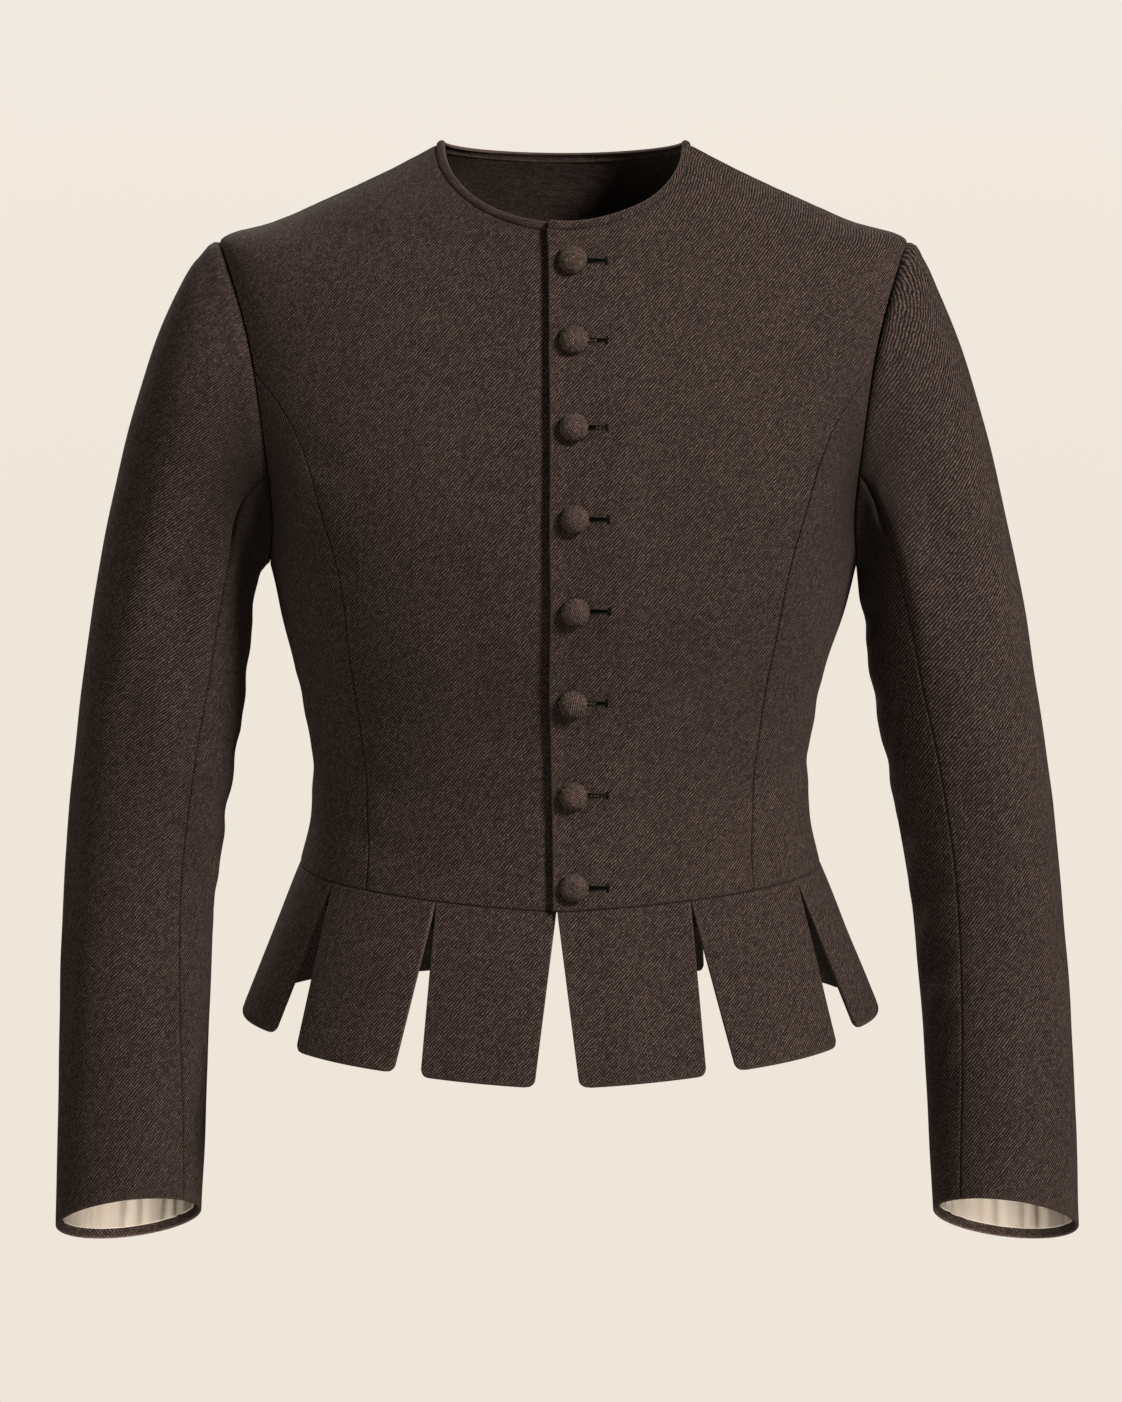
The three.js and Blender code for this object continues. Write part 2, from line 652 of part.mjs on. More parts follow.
/** How high above a point of the left front, along its normal, a shank's foot just clears it. */
function seatHeight(panel, foot, out) {
  const radius = BUTTON_SHANK_DIAMETER / 2;
  const aside = new THREE.Vector3(0, 0, 1).cross(out).setLength(radius);
  const turns = upTo(BUTTON_SIDES - 1).map((i) => (360 * i) / BUTTON_SIDES);
  const rim = turns.map((turn) => aside.clone().applyAxisAngle(out, radians(turn)));
  const heights = [new THREE.Vector3(), ...rim].map((place) => {
    const origin = foot.clone().addScaledVector(out, BUTTON_DIAMETER).add(place);
    const [hit] = new THREE.Raycaster(origin, out.clone().negate()).intersectObject(panel);
    return BUTTON_DIAMETER - hit.distance;
  });
  return Math.max(...heights) + GAP;
}

/** A covered dome on a short shank, standing on z = 0. */
function buttonShape() {
  const radius = BUTTON_DIAMETER / 2;
  const top = BUTTON_SHANK + BUTTON_RIM + BUTTON_DOME;
  const dome = BUTTON_SECTIONS.map((share) => {
    const height = BUTTON_DOME * Math.sqrt(1 - share ** 2);
    return new THREE.Vector2(radius * share, BUTTON_SHANK + BUTTON_RIM + height);
  });
  const shank = BUTTON_SHANK_DIAMETER / 2;
  const profile = [
    new THREE.Vector2(0, 0),
    new THREE.Vector2(shank, 0),
    new THREE.Vector2(shank, BUTTON_SHANK),
    new THREE.Vector2(radius - BUTTON_TUCK, BUTTON_SHANK),
    new THREE.Vector2(radius, BUTTON_SHANK + BUTTON_RIM),
    ...dome.reverse(),
    new THREE.Vector2(0, top),
  ];
  return new THREE.LatheGeometry(profile, BUTTON_SIDES).rotateX(Math.PI / 2);
}

// ---------------------------------------------------------------- sleeves

/** The plain ring of a sleeve at a turn and station, before the armhole's form is added. */
function sleeveRing(turn, station) {
  const inward = Math.cos(radians(turn));
  const forward = Math.sin(radians(turn));
  const reach = forward >= 0 ? sleeve.front(station) : sleeve.back(station);
  const mixIn = (inner, outer) => mix(outer(station), inner(station), (1 + inward) / 2);
  const slant = Math.tan(radians(sleeve.slant(station)));
  return new THREE.Vector3(
    mixIn(sleeve.innerX, sleeve.outerX),
    sleeve.middleY(station) - reach * forward,
    mixIn(sleeve.innerZ, sleeve.outerZ) + reach * forward * slant,
  );
}

/** How deep the long folds make a sleeve at a turn and station. */
function foldDepth(turn, station, folds) {
  return folds.reduce((sum, fold) => {
    const across = Math.abs(turn - fold.turn) / fold.width;
    const along = Math.abs(station - fold.station) / fold.length;
    const wave = (t) => (t >= 1 ? 0 : (1 + Math.cos(Math.PI * t)) / 2);
    return sum + fold.depth * wave(across) * wave(along);
  }, 0);
}

const SLEEVE_NORMAL_TURN = 2; // steps for the sleeves' normals, in degrees and stations
const SLEEVE_NORMAL_STATION = 0.06;

/** The functions of one sleeve's surface. Both sleeves are made at +X and then mirrored. */
function sleeveSurface(name) {
  const side = SIDES[name];
  const folds = rowsOf(FOLD_COLUMNS, FOLDS[name]);
  const smoothPoint = (turn, station) => {
    const start = armhole(turn % 360);
    const form = bodyPoint(start.angle, start.station).sub(sleeveRing(turn, 0));
    const fade = Math.max(1 - station / CAP_STATIONS, 0) ** 2;
    const point = sleeveRing(turn, station).addScaledVector(form, fade);
    point.x -= side * sleeve.sway(station);
    return point;
  };
  const normal = (turn, station) => {
    const low = Math.max(station - SLEEVE_NORMAL_STATION, 0);
    const high = Math.min(station + SLEEVE_NORMAL_STATION, CUFF);
    const ahead = smoothPoint(turn + 360 + SLEEVE_NORMAL_TURN, station);
    const round = ahead.sub(smoothPoint(turn + 360 - SLEEVE_NORMAL_TURN, station));
    const down = smoothPoint(turn, high).sub(smoothPoint(turn, low));
    return down.cross(round).normalize();
  };
  const point = (turn, station) =>
    smoothPoint(turn, station).addScaledVector(
      normal(turn, station),
      -foldDepth(turn % 360, station, folds),
    );
  /** The way from the outer face to the inner, which clears the bodice's edge at the armhole. */
  const inwards = (turn, station) => {
    const way = normal(turn, station).negate();
    if (station > 0) return way;
    const place = armhole(turn % 360);
    const ahead = armhole((turn + SLEEVE_NORMAL_TURN) % 360);
    const along = bodyPoint(ahead.angle, ahead.station).sub(bodyPoint(place.angle, place.station));
    const intoHole = bodyNormal(place.angle, place.station).cross(along).normalize();
    const hole = bodyPoint(90, (ARMPIT + SHOULDER) / 2).sub(bodyPoint(place.angle, place.station));
    if (intoHole.dot(hole) < 0) intoHole.negate();
    return way.addScaledVector(intoHole, -Math.min(way.dot(intoHole), 0)).normalize();
  };
  return { side, point, inwards };
}

/** The turn of a sleeve's seam at a station. */
function seamTurn(which, station, side) {
  const twist = side * SEAM_TWIST * smooth(station, TWIST_NONE, TWIST_ALL);
  return sleeve[which](station) + (which === "frontSeam" ? twist : -twist);
}

/** One of a sleeve's two pieces, over the turns from one seam to the other. */
function sleevePiece(surface, isUnder) {
  const { side, point, inwards } = surface;
  const turnsAt = (station) => {
    const front = seamTurn("frontSeam", station, side);
    const back = seamTurn("backSeam", station, side);
    return isUnder ? [back, front + 360] : [front, back];
  };
  const [first, last] = turnsAt(0);
  const columns = Math.round((last - first) / TURN_STEP);
  const places = SLEEVE_STATIONS.map((station) =>
    upTo(columns).map((i) => {
      const [from, to] = turnsAt(station);
      return { turn: mix(from, to, i / columns), station };
    }),
  );
  const outer = places.map((row) => row.map((p) => point(p.turn, p.station)));
  const ways = places.map((row) => row.map((p) => inwards(p.turn, p.station)));
  const half = GAP / 2;
  trimEdges(outer, { start: half, end: half, bottom: half });
  return wallBetween(mirrored(outer, side), mirrored(offset(outer, ways, CLOTH), side));
}

/** The lining just inside the cuff. */
function sleeveLining(surface) {
  const { side, point, inwards } = surface;
  const pitch = point(180, CUFF).distanceTo(point(180, CUFF - 1));
  const stations = upTo(LINING_ROWS).map(
    (i) => CUFF - (LINING_HEM + LINING_DEPTH * (1 - i / LINING_ROWS)) / pitch,
  );
  const gridAt = (depth) =>
    stations.map((station) =>
      upTo(LINING_SIDES - 1).map((i) => {
        const turn = (360 * i) / LINING_SIDES;
        return point(turn, station).addScaledVector(inwards(turn, station), depth);
      }),
    );
  const outer = mirrored(gridAt(CLOTH + 2 * GAP), side);
  return tubeBetween(outer, mirrored(gridAt(CLOTH + 2 * GAP + LINING_CLOTH), side));
}

// ---------------------------------------------------------------- the doublet

const doublet = new THREE.Group();

function add(name, geometry, material) {
  const mesh = new THREE.Mesh(geometry, material);
  mesh.name = name;
  doublet.add(mesh);
  return mesh;
}

/** Moves what belongs to the waist over to the side that it stands to. */
function shifted(geometry) {
  const points = geometry.getAttribute("position");
  for (let i = 0; i < points.count; i += 1) {
    const share = 1 - smooth(points.getZ(i), SHIFT_ALL_Z, SHIFT_FROM_Z);
    points.setX(i, points.getX(i) + WAIST_SHIFT * share);
  }
  return geometry;
}

add("front_left", shifted(frontPanel(1, leftEdge, lapLift)), WOOL);
add("front_right", shifted(frontPanel(-1, () => -UNDERLAP, () => 0)), WOOL);
add("back", shifted(backPanel()), WOOL);
add("neck_binding", neckBinding(), WOOL_EDGE);
add("waist_facing", shifted(waistFacing()), WOOL_EDGE);

const tabs = rowsOf(TAB_COLUMNS, TABS);

/** The angles where one side's tabs start and end, from the centre front to the centre back. */
function tabAngles(startX, edges) {
  const front = [startX, ...edges.filter((x) => x !== null)].map((x) => angleAtX(x, 0));
  const rest = evenShares(edges.length + 1 - front.length).slice(1);
  return [...front, ...anglesAlong(front.at(-1), 180, 0, rest)];
}

for (const [name, side] of Object.entries(SIDES)) {
  add(`side_panel_${name}`, shifted(sidePanel(side)), WOOL);

  const isLeft = side > 0;
  const angles = isLeft
    ? tabAngles(TAB_START_LEFT, tabs.map((tab) => tab.leftEdge))
    : tabAngles(TAB_START_RIGHT, tabs.map((tab) => tab.rightEdge));
  tabs.forEach((tab, i) => {
    const liftAt = isLeft && i === 0 ? lapLift : () => 0;
    const shape = skirtTab(tab, angles[i], angles[i + 1], side, liftAt);
    add(`skirt_tab_${name}_${i + 1}`, shifted(shape), WOOL);
  });

  const surface = sleeveSurface(name);
  add(`top_sleeve_${name}`, sleevePiece(surface, false), WOOL);
  add(`under_sleeve_${name}`, sleevePiece(surface, true), WOOL);
  add(`sleeve_lining_${name}`, sleeveLining(surface), LINING);
}

const leftFront = doublet.getObjectByName("front_left");
buttonStations().forEach((station, i) => {
  const angle = angleAtX(buttonX(station), station);
  const button = add(`button_${i + 1}`, buttonShape(), WOOL_BUTTON);
  const out = bodyNormal(angle, station);
  const foot = bodyPoint(angle, station);
  foot.x += WAIST_SHIFT * (1 - smooth(foot.z, SHIFT_ALL_Z, SHIFT_FROM_Z));
  button.quaternion.setFromUnitVectors(new THREE.Vector3(0, 0, 1), out);
  button.position.copy(foot.addScaledVector(out, seatHeight(leftFront, foot, out)));
});

export default doublet;
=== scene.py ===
"""A doublet of brown wool twill, as worn and buttoned up, hollow, with nobody in it.

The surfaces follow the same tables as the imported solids. Only the buttons' width, how proud the
band stands, the lap's curl, the lining's hem and the facing's top edge are nearer to the photo.
Those tables and all lengths here are in millimetres, with the front towards -Y and the wearer's
left at +X, and MM turns them into metres. Angles are in degrees.
"""

import math

import bpy
import numpy as np
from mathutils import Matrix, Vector


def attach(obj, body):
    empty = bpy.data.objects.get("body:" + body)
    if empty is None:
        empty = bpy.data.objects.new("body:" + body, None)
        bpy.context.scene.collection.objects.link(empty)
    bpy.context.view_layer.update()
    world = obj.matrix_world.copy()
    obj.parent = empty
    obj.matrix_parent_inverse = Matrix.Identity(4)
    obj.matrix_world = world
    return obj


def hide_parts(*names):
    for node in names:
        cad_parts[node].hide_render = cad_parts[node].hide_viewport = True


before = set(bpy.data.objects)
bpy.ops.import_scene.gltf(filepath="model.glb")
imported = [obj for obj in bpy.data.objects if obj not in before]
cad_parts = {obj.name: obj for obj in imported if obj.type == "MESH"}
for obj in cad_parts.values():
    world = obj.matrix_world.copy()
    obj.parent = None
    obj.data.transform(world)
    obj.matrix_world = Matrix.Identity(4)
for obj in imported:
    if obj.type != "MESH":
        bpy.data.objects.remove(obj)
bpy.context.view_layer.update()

MM = 0.001

# ------------------------------------------------------------------ the garment's sizes

CLOTH = 2.5
TAB_CLOTH = 3.0
LINING_CLOTH = 1.0
FACING_CLOTH = 1.2
GAP = 0.3  # between the lap or a lining and what it lies on

BODY_COLUMNS = (
    "half_width", "front_depth", "back_depth", "front_z", "side_z", "back_z", "square", "sweep",
)
BODY_RINGS = [
    [171.5, 120, 112, -482, -471, -470, 0.92, 2],  # waist seam
    [164.3, 112, 103, -447, -438, -437, 0.92, 1.7],
    [162.8, 107, 97, -413, -405, -404, 0.92, 1.4],  # waist
    [167.8, 108, 98, -378, -370, -370, 0.9, 1.1],
    [174.6, 112, 102, -345, -337, -336, 0.88, 1],
    [184, 117, 108, -311, -304, -302, 0.86, 1],
    [191.4, 120.5, 113, -279, -272, -269, 0.84, 1],  # armpit
    [200.5, 121.5, 116, -250, -240, -237, 0.83, 1],
    [211, 120, 117, -222, -205, -206, 0.82, 1],
    [219, 117, 115.5, -196, -170, -176, 0.83, 1],  # chest
    [222, 112, 112, -170, -135, -146, 0.86, 1],
    [222.5, 106, 105.5, -145, -100, -116, 0.92, 1],
    [222, 99.5, 97.5, -121, -64, -87, 0.99, 0.95],  # shoulder point
    [184.5, 94, 90, -102, -50, -65, 1, 0.8],
    [149, 88, 81.5, -84, -34.4, -45, 1, 0.6],
    [113, 82, 72.5, -66, -17.8, -26, 1, 0.3],
    [77, 75, 62, -48.5, 1.1, -8, 1, 0],  # neckline
]
BLEND_REACH = 1.6
BLEND_NONE = 6
BLEND_ALL = 9
BLEND_WEIGHTS = (1, 2, 3, 2, 1)
WAIST_SHIFT = -2.2
SHIFT_FROM_Z = -278
SHIFT_ALL_Z = -345
ARMPIT = 6
SHOULDER = 12
NECK = len(BODY_RINGS) - 1

ARMHOLE_FRONT_REACH = 31
ARMHOLE_BACK_REACH = 27
FRONT_PANEL_TURN = 110
BACK_PANEL_TURN = 300
FRONT_PANEL_SEAM = [[0, 45], [2, 48.3], [4, 46.8], [6, 44.4], [8, 44.8], [9, 47.6], [9.6, 53]]
BACK_PANEL_SEAM = [[0, 131], [3, 129], [6, 122.5]]

LEFT_EDGE_TOP = -9
LEFT_EDGE_WAIST = -4.6
LEFT_EDGE_STRAIGHT = 8
UNDERLAP = 18
LAP_FLAT = 30
LAP_END = 62
LAP_CURL = 1.8
LAP_CURL_REACH = 12
LAP_PRESS = 1.8
LAP_PRESS_REACH = 5

BINDING_WIDTH = 6
BINDING_PROUD = 1.2

TAB_COLUMNS = ("left_edge", "right_edge", "length", "flare", "spread", "taper")
TABS = [
    [83.5, 79.3, 112.5, 22, 6, 5],
    [153.9, 147.3, 112, 24, 1, 5],
    [None, None, 106, 22, 0, 3],
    [None, None, 108, 22, 0, 3],
    [None, None, 111, 21, 0, 3],
]
TAB_CORNER = 5
TAB_START_LEFT = -1.8
TAB_START_RIGHT = 2.3

WAIST_FACING = 17
FACING_INSET = 3.8
FACING_RISE = 5  # the facing starts this far above the waist seam, inside the bodice
FACING_START_LEFT = 3
FACING_START_RIGHT = 13

BUTTON_DIAMETER = 17.9
BUTTON_DOME = 6.4
BUTTON_RIM = 1.6
BUTTON_SHANK = 1.2
BUTTON_X_TOP = 5.2
BUTTON_X_WAIST = 9
BUTTON_STEPS = [20.5, 51, 55, 57, 57.5, 60, 60.5, 59.5]

SLEEVE_COLUMNS = (
    "outer_x", "outer_z", "inner_x", "inner_z", "front", "back", "middle_y", "slant", "sway",
    "front_seam", "back_seam",
)
SLEEVE_RINGS = [
    [222, -64, 191.4, -272, 68, 62, 0, 0, 0, 70, 300],  # armhole
    [235, -75, 193.5, -275.5, 68, 63, 0, 0, 2, 64, 300],
    [247.5, -98, 195, -279, 67.5, 63.5, 0, 0, 3.5, 59, 300],
    [260, -127, 196, -283, 67, 63.5, 0, 0, 4, 56, 300],
    [272, -162, 197, -288, 66, 63, 0, 0, 4, 55, 300],
    [283.5, -203, 198, -294, 65, 62.5, 0, 0, 4, 55, 300],
    [294, -248, 199.3, -302, 64, 62, 1, 0, 4, 55, 300],
    [303.5, -294, 201, -315, 62.5, 61, 1, 0, 3.5, 56, 300],  # upper arm
    [312, -345, 204.5, -347, 60, 59, 1, 1, 3, 58, 300],
    [320, -400, 213, -396, 57, 57, 0, 3, 2, 60, 300],
    [326.5, -455, 222.8, -450, 54, 55, -3, 6, 1, 59, 301],  # elbow
    [330.5, -510, 230.5, -503, 51.5, 52, -10, 10, 0, 56, 303],
    [332.8, -563, 234, -554, 48, 48, -21, 13, -1, 53, 305],
    [334, -615, 236.3, -604, 44.5, 44.5, -34, 16, -2, 49, 306],
    [334.8, -660, 237.8, -649, 41, 41, -46, 22, -2.5, 45, 307],
    [335.5, -706, 240, -693, 39, 39, -56, 30, -2.5, 41, 308],  # cuff
]
CUFF = len(SLEEVE_RINGS) - 1
CAP_STATIONS = 3
SEAM_TWIST = 5
TWIST_NONE = 1
TWIST_ALL = 5
FOLD_COLUMNS = ("turn", "station", "length", "width", "depth")
FOLDS = {
    "left": [[118, 6.2, 3.2, 26, 2.6], [240, 7.4, 2.6, 24, 2.2], [84, 10.4, 2.4, 20, 1.6]],
    "right": [[104, 7.2, 2.8, 22, 1.6], [232, 6.6, 2.8, 25, 2.4], [150, 10.8, 2.6, 24, 1.8]],
}
LINING_HEM = 6
LINING_DEPTH = 60
LINING_FULLNESS = 0.25
LINING_WAVES = ((21, 0.5), (33, 2.2), (13.8, 4.0))  # in degrees round, and phases
LINING_COLUMNS = 150
LINING_CREASING = 1.9

SIDES = {"left": 1, "right": -1}

# ------------------------------------------------------------------ creases and seams

# Each crease is a soft trough from one place to another, with a low ridge beside it. On the
# bodice a place is x and z, and on a sleeve it is a turn round it and z. width is half the
# trough's width.
CREASE_COLUMNS = ("from_across", "from_z", "to_across", "to_z", "width", "depth")
BODICE_CREASES = {
    "front_left": [
        [176, -196, 120, -214, 9, 0.9],
        [188, -228, 140, -262, 11, 1.1],
        [160, -420, 104, -404, 9, 0.8],
        [150, -452, 96, -446, 7, 0.6],
        [60, -120, 128, -96, 13, 0.7],
        [36, -300, 44, -396, 12, 0.6],
    ],
    "front_right": [
        [-178, -190, -128, -206, 9, 1.0],
        [-186, -238, -134, -270, 11, 1.0],
        [-162, -412, -110, -400, 8, 0.8],
        [-146, -446, -84, -452, 8, 0.6],
        [-54, -112, -120, -92, 12, 0.7],
        [-58, -280, -50, -382, 13, 0.7],
    ],
    "back": [
        [180, -180, 96, -210, 11, 1.2],
        [-176, -190, -104, -214, 12, 1.1],
        [150, -396, 66, -410, 9, 1.3],
        [-142, -404, -58, -396, 9, 1.2],
        [96, -432, -12, -440, 8, 0.9],
        [60, -370, -84, -378, 10, 1.0],
        [70, -60, 150, -76, 12, 0.8],
        [-66, -62, -146, -78, 12, 0.8],
    ],
    "side_panel_left": [
        [196, -196, 188, -262, 12, 2.4],
        [168, -398, 140, -410, 8, 1.0],
        [176, -356, 150, -366, 8, 0.8],
        [160, -438, 120, -434, 7, 0.8],
    ],
    "side_panel_right": [
        [-197, -194, -189, -262, 12, 2.6],
        [-168, -404, -138, -414, 8, 1.0],
        [-178, -350, -150, -362, 8, 0.8],
        [-158, -436, -118, -440, 7, 0.8],
    ],
}
SLEEVE_CREASES = {
    "left": [
        [95, -165, 92, -345, 14, 4.6],  # the long hollow down the front
        [64, -180, 67, -305, 10, -1.5],
        [62, -176, 12, -262, 11, 6.0],  # underarm
        [30, -262, -14, -280, 8, 1.3],
        [36, -300, -16, -316, 7, 1.5],
        [42, -346, -22, -368, 9, 1.7],
        [20, -400, -30, -412, 8, 1.2],
        [50, -436, 2, -456, 8, 2.0],  # inside of the elbow
        [52, -472, 4, -508, 8, 2.3],
        [52, -518, 8, -552, 8, 1.7],
        [56, -560, 20, -580, 9, 1.0],
        [56, -606, 30, -618, 8, 0.7],
        [150, -250, 156, -380, 14, 1.0],
        [168, -430, 160, -560, 14, 0.9],
        [120, -590, 150, -660, 12, 0.9],
        [-26, -330, -70, -352, 9, 2.0],  # back
        [-20, -392, -74, -416, 9, 2.5],
        [-16, -448, -78, -466, 9, 2.5],
        [-20, -500, -70, -520, 10, 2.0],
        [214, -300, 236, -420, 12, 1.7],
        [250, -190, 288, -262, 11, 1.9],
        [238, -440, 280, -428, 10, 1.4],
        [262, -560, 250, -640, 11, 1.0],
    ],
    "right": [
        [82, -200, 84, -352, 14, 5.5],
        [60, -178, 10, -264, 11, 6.5],
        [28, -286, -12, -304, 8, 1.4],
        [24, -340, -24, -350, 9, 1.1],
        [34, -384, -14, -402, 7, 1.6],
        [30, -424, -18, -442, 8, 1.7],
        [6, -440, 32, -482, 7, 1.6],
        [42, -486, -10, -498, 8, 1.6],
        [18, -538, 26, -606, 8, 1.2],
        [56, -560, 28, -590, 9, 0.8],
        [110, -300, 100, -420, 13, 1.0],
        [150, -520, 156, -620, 14, 0.9],
        [166, -330, 158, -470, 14, 0.9],
        [-22, -318, -72, -334, 9, 1.9],
        [-18, -374, -76, -402, 9, 2.4],
        [-14, -430, -72, -444, 9, 2.3],
        [-22, -486, -70, -506, 10, 2.0],
        [220, -280, 240, -400, 12, 1.7],
        [252, -180, 290, -256, 11, 1.8],
        [236, -470, 276, -452, 10, 1.4],
        [256, -548, 244, -650, 11, 0.9],
    ],
}
LINING_CREASES = {
    "left": [
        [228, -790, 236, -640, 3.2, 1.3],
        [250, -790, 246, -636, 2.6, 0.9],
        [266, -790, 274, -650, 3.4, 1.5],
        [287, -790, 282, -640, 2.6, 1.0],
        [303, -790, 309, -646, 3.0, 1.3],
        [325, -790, 321, -640, 2.8, 1.1],
        [344, -790, 350, -640, 3.2, 1.0],
        [20, -790, 26, -640, 3.2, 1.0],
        [70, -790, 62, -640, 3.0, 1.0],
        [118, -790, 126, -650, 3.2, 1.1],
        [170, -790, 164, -650, 3.2, 1.1],
        [204, -790, 198, -650, 2.8, 0.9],
    ],
    "right": [
        [222, -790, 230, -644, 3.0, 1.2],
        [243, -790, 238, -640, 2.8, 1.0],
        [259, -790, 266, -650, 3.4, 1.4],
        [279, -790, 275, -642, 2.8, 1.2],
        [296, -790, 303, -640, 3.2, 1.0],
        [316, -790, 312, -640, 2.8, 1.3],
        [337, -790, 344, -640, 3.0, 1.0],
        [12, -790, 18, -640, 3.0, 1.0],
        [58, -790, 64, -640, 3.2, 1.1],
        [110, -790, 102, -650, 3.0, 1.0],
        [150, -790, 158, -650, 3.2, 1.1],
        [190, -790, 184, -650, 3.0, 1.0],
    ],
}

# How the cloth rolls under at a seam: how far in it starts, how deep it goes and how strong the
# painted shade along it is.
SEAMS = {"seam": (2.1, 1.35, 0.8), "soft": (2.8, 0.95, 0.3)}
PUCKER = 0.5  # depth of the small puckers along a seam
PUCKER_REACH = 6.0
SLEEVE_RADIUS = 49  # about which the sleeves' weave goes round
ARMPIT_MIDDLE = (194, -46, -226)  # the ribs are drawn flat and painted shade darkens the cloth around here
ARMPIT_REACH = (25, 75, 66)
ARMPIT_PAINTED_SHADE = 1.4
PUCKER_WAVES = ((9.3, 0.4), (14.7, 2.1), (24.1, 4.4))  # lengths and phases
SWELL = 0.35  # depth of the cloth's slow unevenness
SWELL_WAVES = ((88, 0.35, 0.7), (61, -0.8, 2.6), (133, 1.3, 4.1), (47, 2.2, 0.2))
SLEEVE_HEAD = 2.8  # how far the head of a sleeve stands proud of its seam
SLEEVE_HEAD_REACH = 16.0
GRID_STEP = 3.6  # the meshes' usual spacing
NARROWEST = 30  # the width below which a row's edges are drawn together


def smoothstep(x, low, high):
    s = np.clip((np.asarray(x, float) - low) / (high - low), 0, 1)
    return s * s * (3 - 2 * s)


def mix(a, b, share):
    return a + (b - a) * share


def sine(degrees):
    return np.sin(np.radians(degrees))


def cosine(degrees):
    return np.cos(np.radians(degrees))


def norm(vectors):
    return np.linalg.norm(vectors, axis=-1)


def lengths_along(points):
    """How far along a line each of its points lies."""
    return np.concatenate([[0], np.cumsum(norm(np.diff(points, axis=0)))])


def stacked(*parts):
    return np.stack(parts, axis=-1)


def mirror_to(side):
    return np.array([side, 1, 1])


def unit(vectors):
    return vectors / np.maximum(np.linalg.norm(vectors, axis=-1, keepdims=True), 1e-12)


def dot(a, b):
    return (a * b).sum(axis=-1, keepdims=True)


def smooth_curve(stations, values):
    """A curve through the values at the given stations, which never overshoots between them."""
    x = np.asarray(stations, float)
    y = np.asarray(values, float)
    secants = np.diff(y) / np.diff(x)
    before = np.concatenate([secants[:1], secants])
    after = np.concatenate([secants, secants[-1:]])
    product = before * after
    total = np.where(product > 0, before + after, 1)
    slopes = np.where(product > 0, 2 * product / total, 0)

    def curve(at):
        at = np.clip(np.asarray(at, float), x[0], x[-1])
        i = np.clip(np.searchsorted(x, at, side="right") - 1, 0, len(x) - 2)
        width = x[i + 1] - x[i]
        s = (at - x[i]) / width
        rest = 1 - s
        ends = y[i] * rest * rest * (1 + 2 * s) + y[i + 1] * s * s * (3 - 2 * s)
        return ends + width * s * rest * (slopes[i] * rest - slopes[i + 1] * s)

    return curve


def curves_of(columns, rows):
    stations = np.arange(len(rows))
    return {
        name: smooth_curve(stations, [row[i] for row in rows]) for i, name in enumerate(columns)
    }


def rows_of(columns, rows):
    return [dict(zip(columns, row)) for row in rows]


body = curves_of(BODY_COLUMNS, BODY_RINGS)
sleeve = curves_of(SLEEVE_COLUMNS, SLEEVE_RINGS)

# ------------------------------------------------------------------ the bodice's surface


def ring_point(angle, station):
    """The point of one of the bodice's rings at an angle from the centre front."""
    forward, sideways = cosine(angle), sine(angle)
    is_front = forward >= 0
    square, sweep = body["square"](station), body["sweep"](station)
    middle = np.where(is_front, body["front_z"](station), body["back_z"](station))
    depth = np.where(is_front, body["front_depth"](station), body["back_depth"](station))
    wave = sideways * sideways
    low = mix(1 - np.abs(forward), wave, sweep)
    high = mix(wave, np.abs(sideways), sweep - 1)
    climb = np.where(sweep < 1, low, high)
    return stacked(
        body["half_width"](station) * np.sign(sideways) * np.abs(sideways) ** square,
        -depth * np.sign(forward) * np.abs(forward) ** square,
        middle + (body["side_z"](station) - middle) * climb,
    )


def body_point(angle, station):
    """The point of the bodice's outer face at an angle from the centre front and a station up."""
    angle, station = np.broadcast_arrays(np.asarray(angle, float), np.asarray(station, float))
    share = np.abs(cosine(angle)) * smoothstep(station, BLEND_NONE, BLEND_ALL)
    reach = np.minimum(BLEND_REACH * share, NECK - station)
    middle = (len(BLEND_WEIGHTS) - 1) / 2
    total = 0
    for i, weight in enumerate(BLEND_WEIGHTS):
        total = total + weight * ring_point(angle, station + reach * (i - middle) / middle)
    return total / sum(BLEND_WEIGHTS)


def body_normal(angle, station):
    low, high = np.maximum(station - 0.03, 0), np.minimum(station + 0.03, NECK)
    around = body_point(angle + 0.6, station) - body_point(angle - 0.6, station)
    return unit(np.cross(around, body_point(angle, high) - body_point(angle, low)))


def angle_at_x(x, station):
    share = np.abs(x) / body["half_width"](station)
    return np.sign(x) * np.degrees(np.arcsin(share ** (1 / body["square"](station))))


def angles_along(start, end, station, shares):
    """The angles that split each ring between two angles into shares of its length."""
    start, end, station = (np.atleast_1d(np.asarray(v, float)) for v in (start, end, station))
    start, end, station = np.broadcast_arrays(start, end, station)
    steps = np.linspace(0, 1, 160)
    angles = mix(start[:, None], end[:, None], steps)
    points = body_point(angles, station[:, None])
    pieces = norm(np.diff(points, axis=1))
    lengths = np.concatenate([np.zeros((len(start), 1)), np.cumsum(pieces, axis=1)], axis=1)
    shares = np.broadcast_to(shares, (len(start), np.shape(shares)[-1]))
    rows = zip(shares, lengths, angles)
    return np.array([np.interp(share * length[-1], length, angle) for share, length, angle in rows])


def ring_length(start, end, station):
    points = body_point(np.linspace(start, end, 60), station)
    return norm(np.diff(points, axis=0)).sum()


def armhole(turn):
    turn = np.asarray(turn, float) % 360
    reach = np.where(turn <= 180, ARMHOLE_FRONT_REACH, ARMHOLE_BACK_REACH)
    return 90 - reach * sine(turn), ARMPIT + (SHOULDER - ARMPIT) * (1 - cosine(turn)) / 2


def panel_seam(rows, turn):
    angle, station = armhole(turn)
    return smooth_curve([row[0] for row in rows] + [station], [row[1] for row in rows] + [angle])


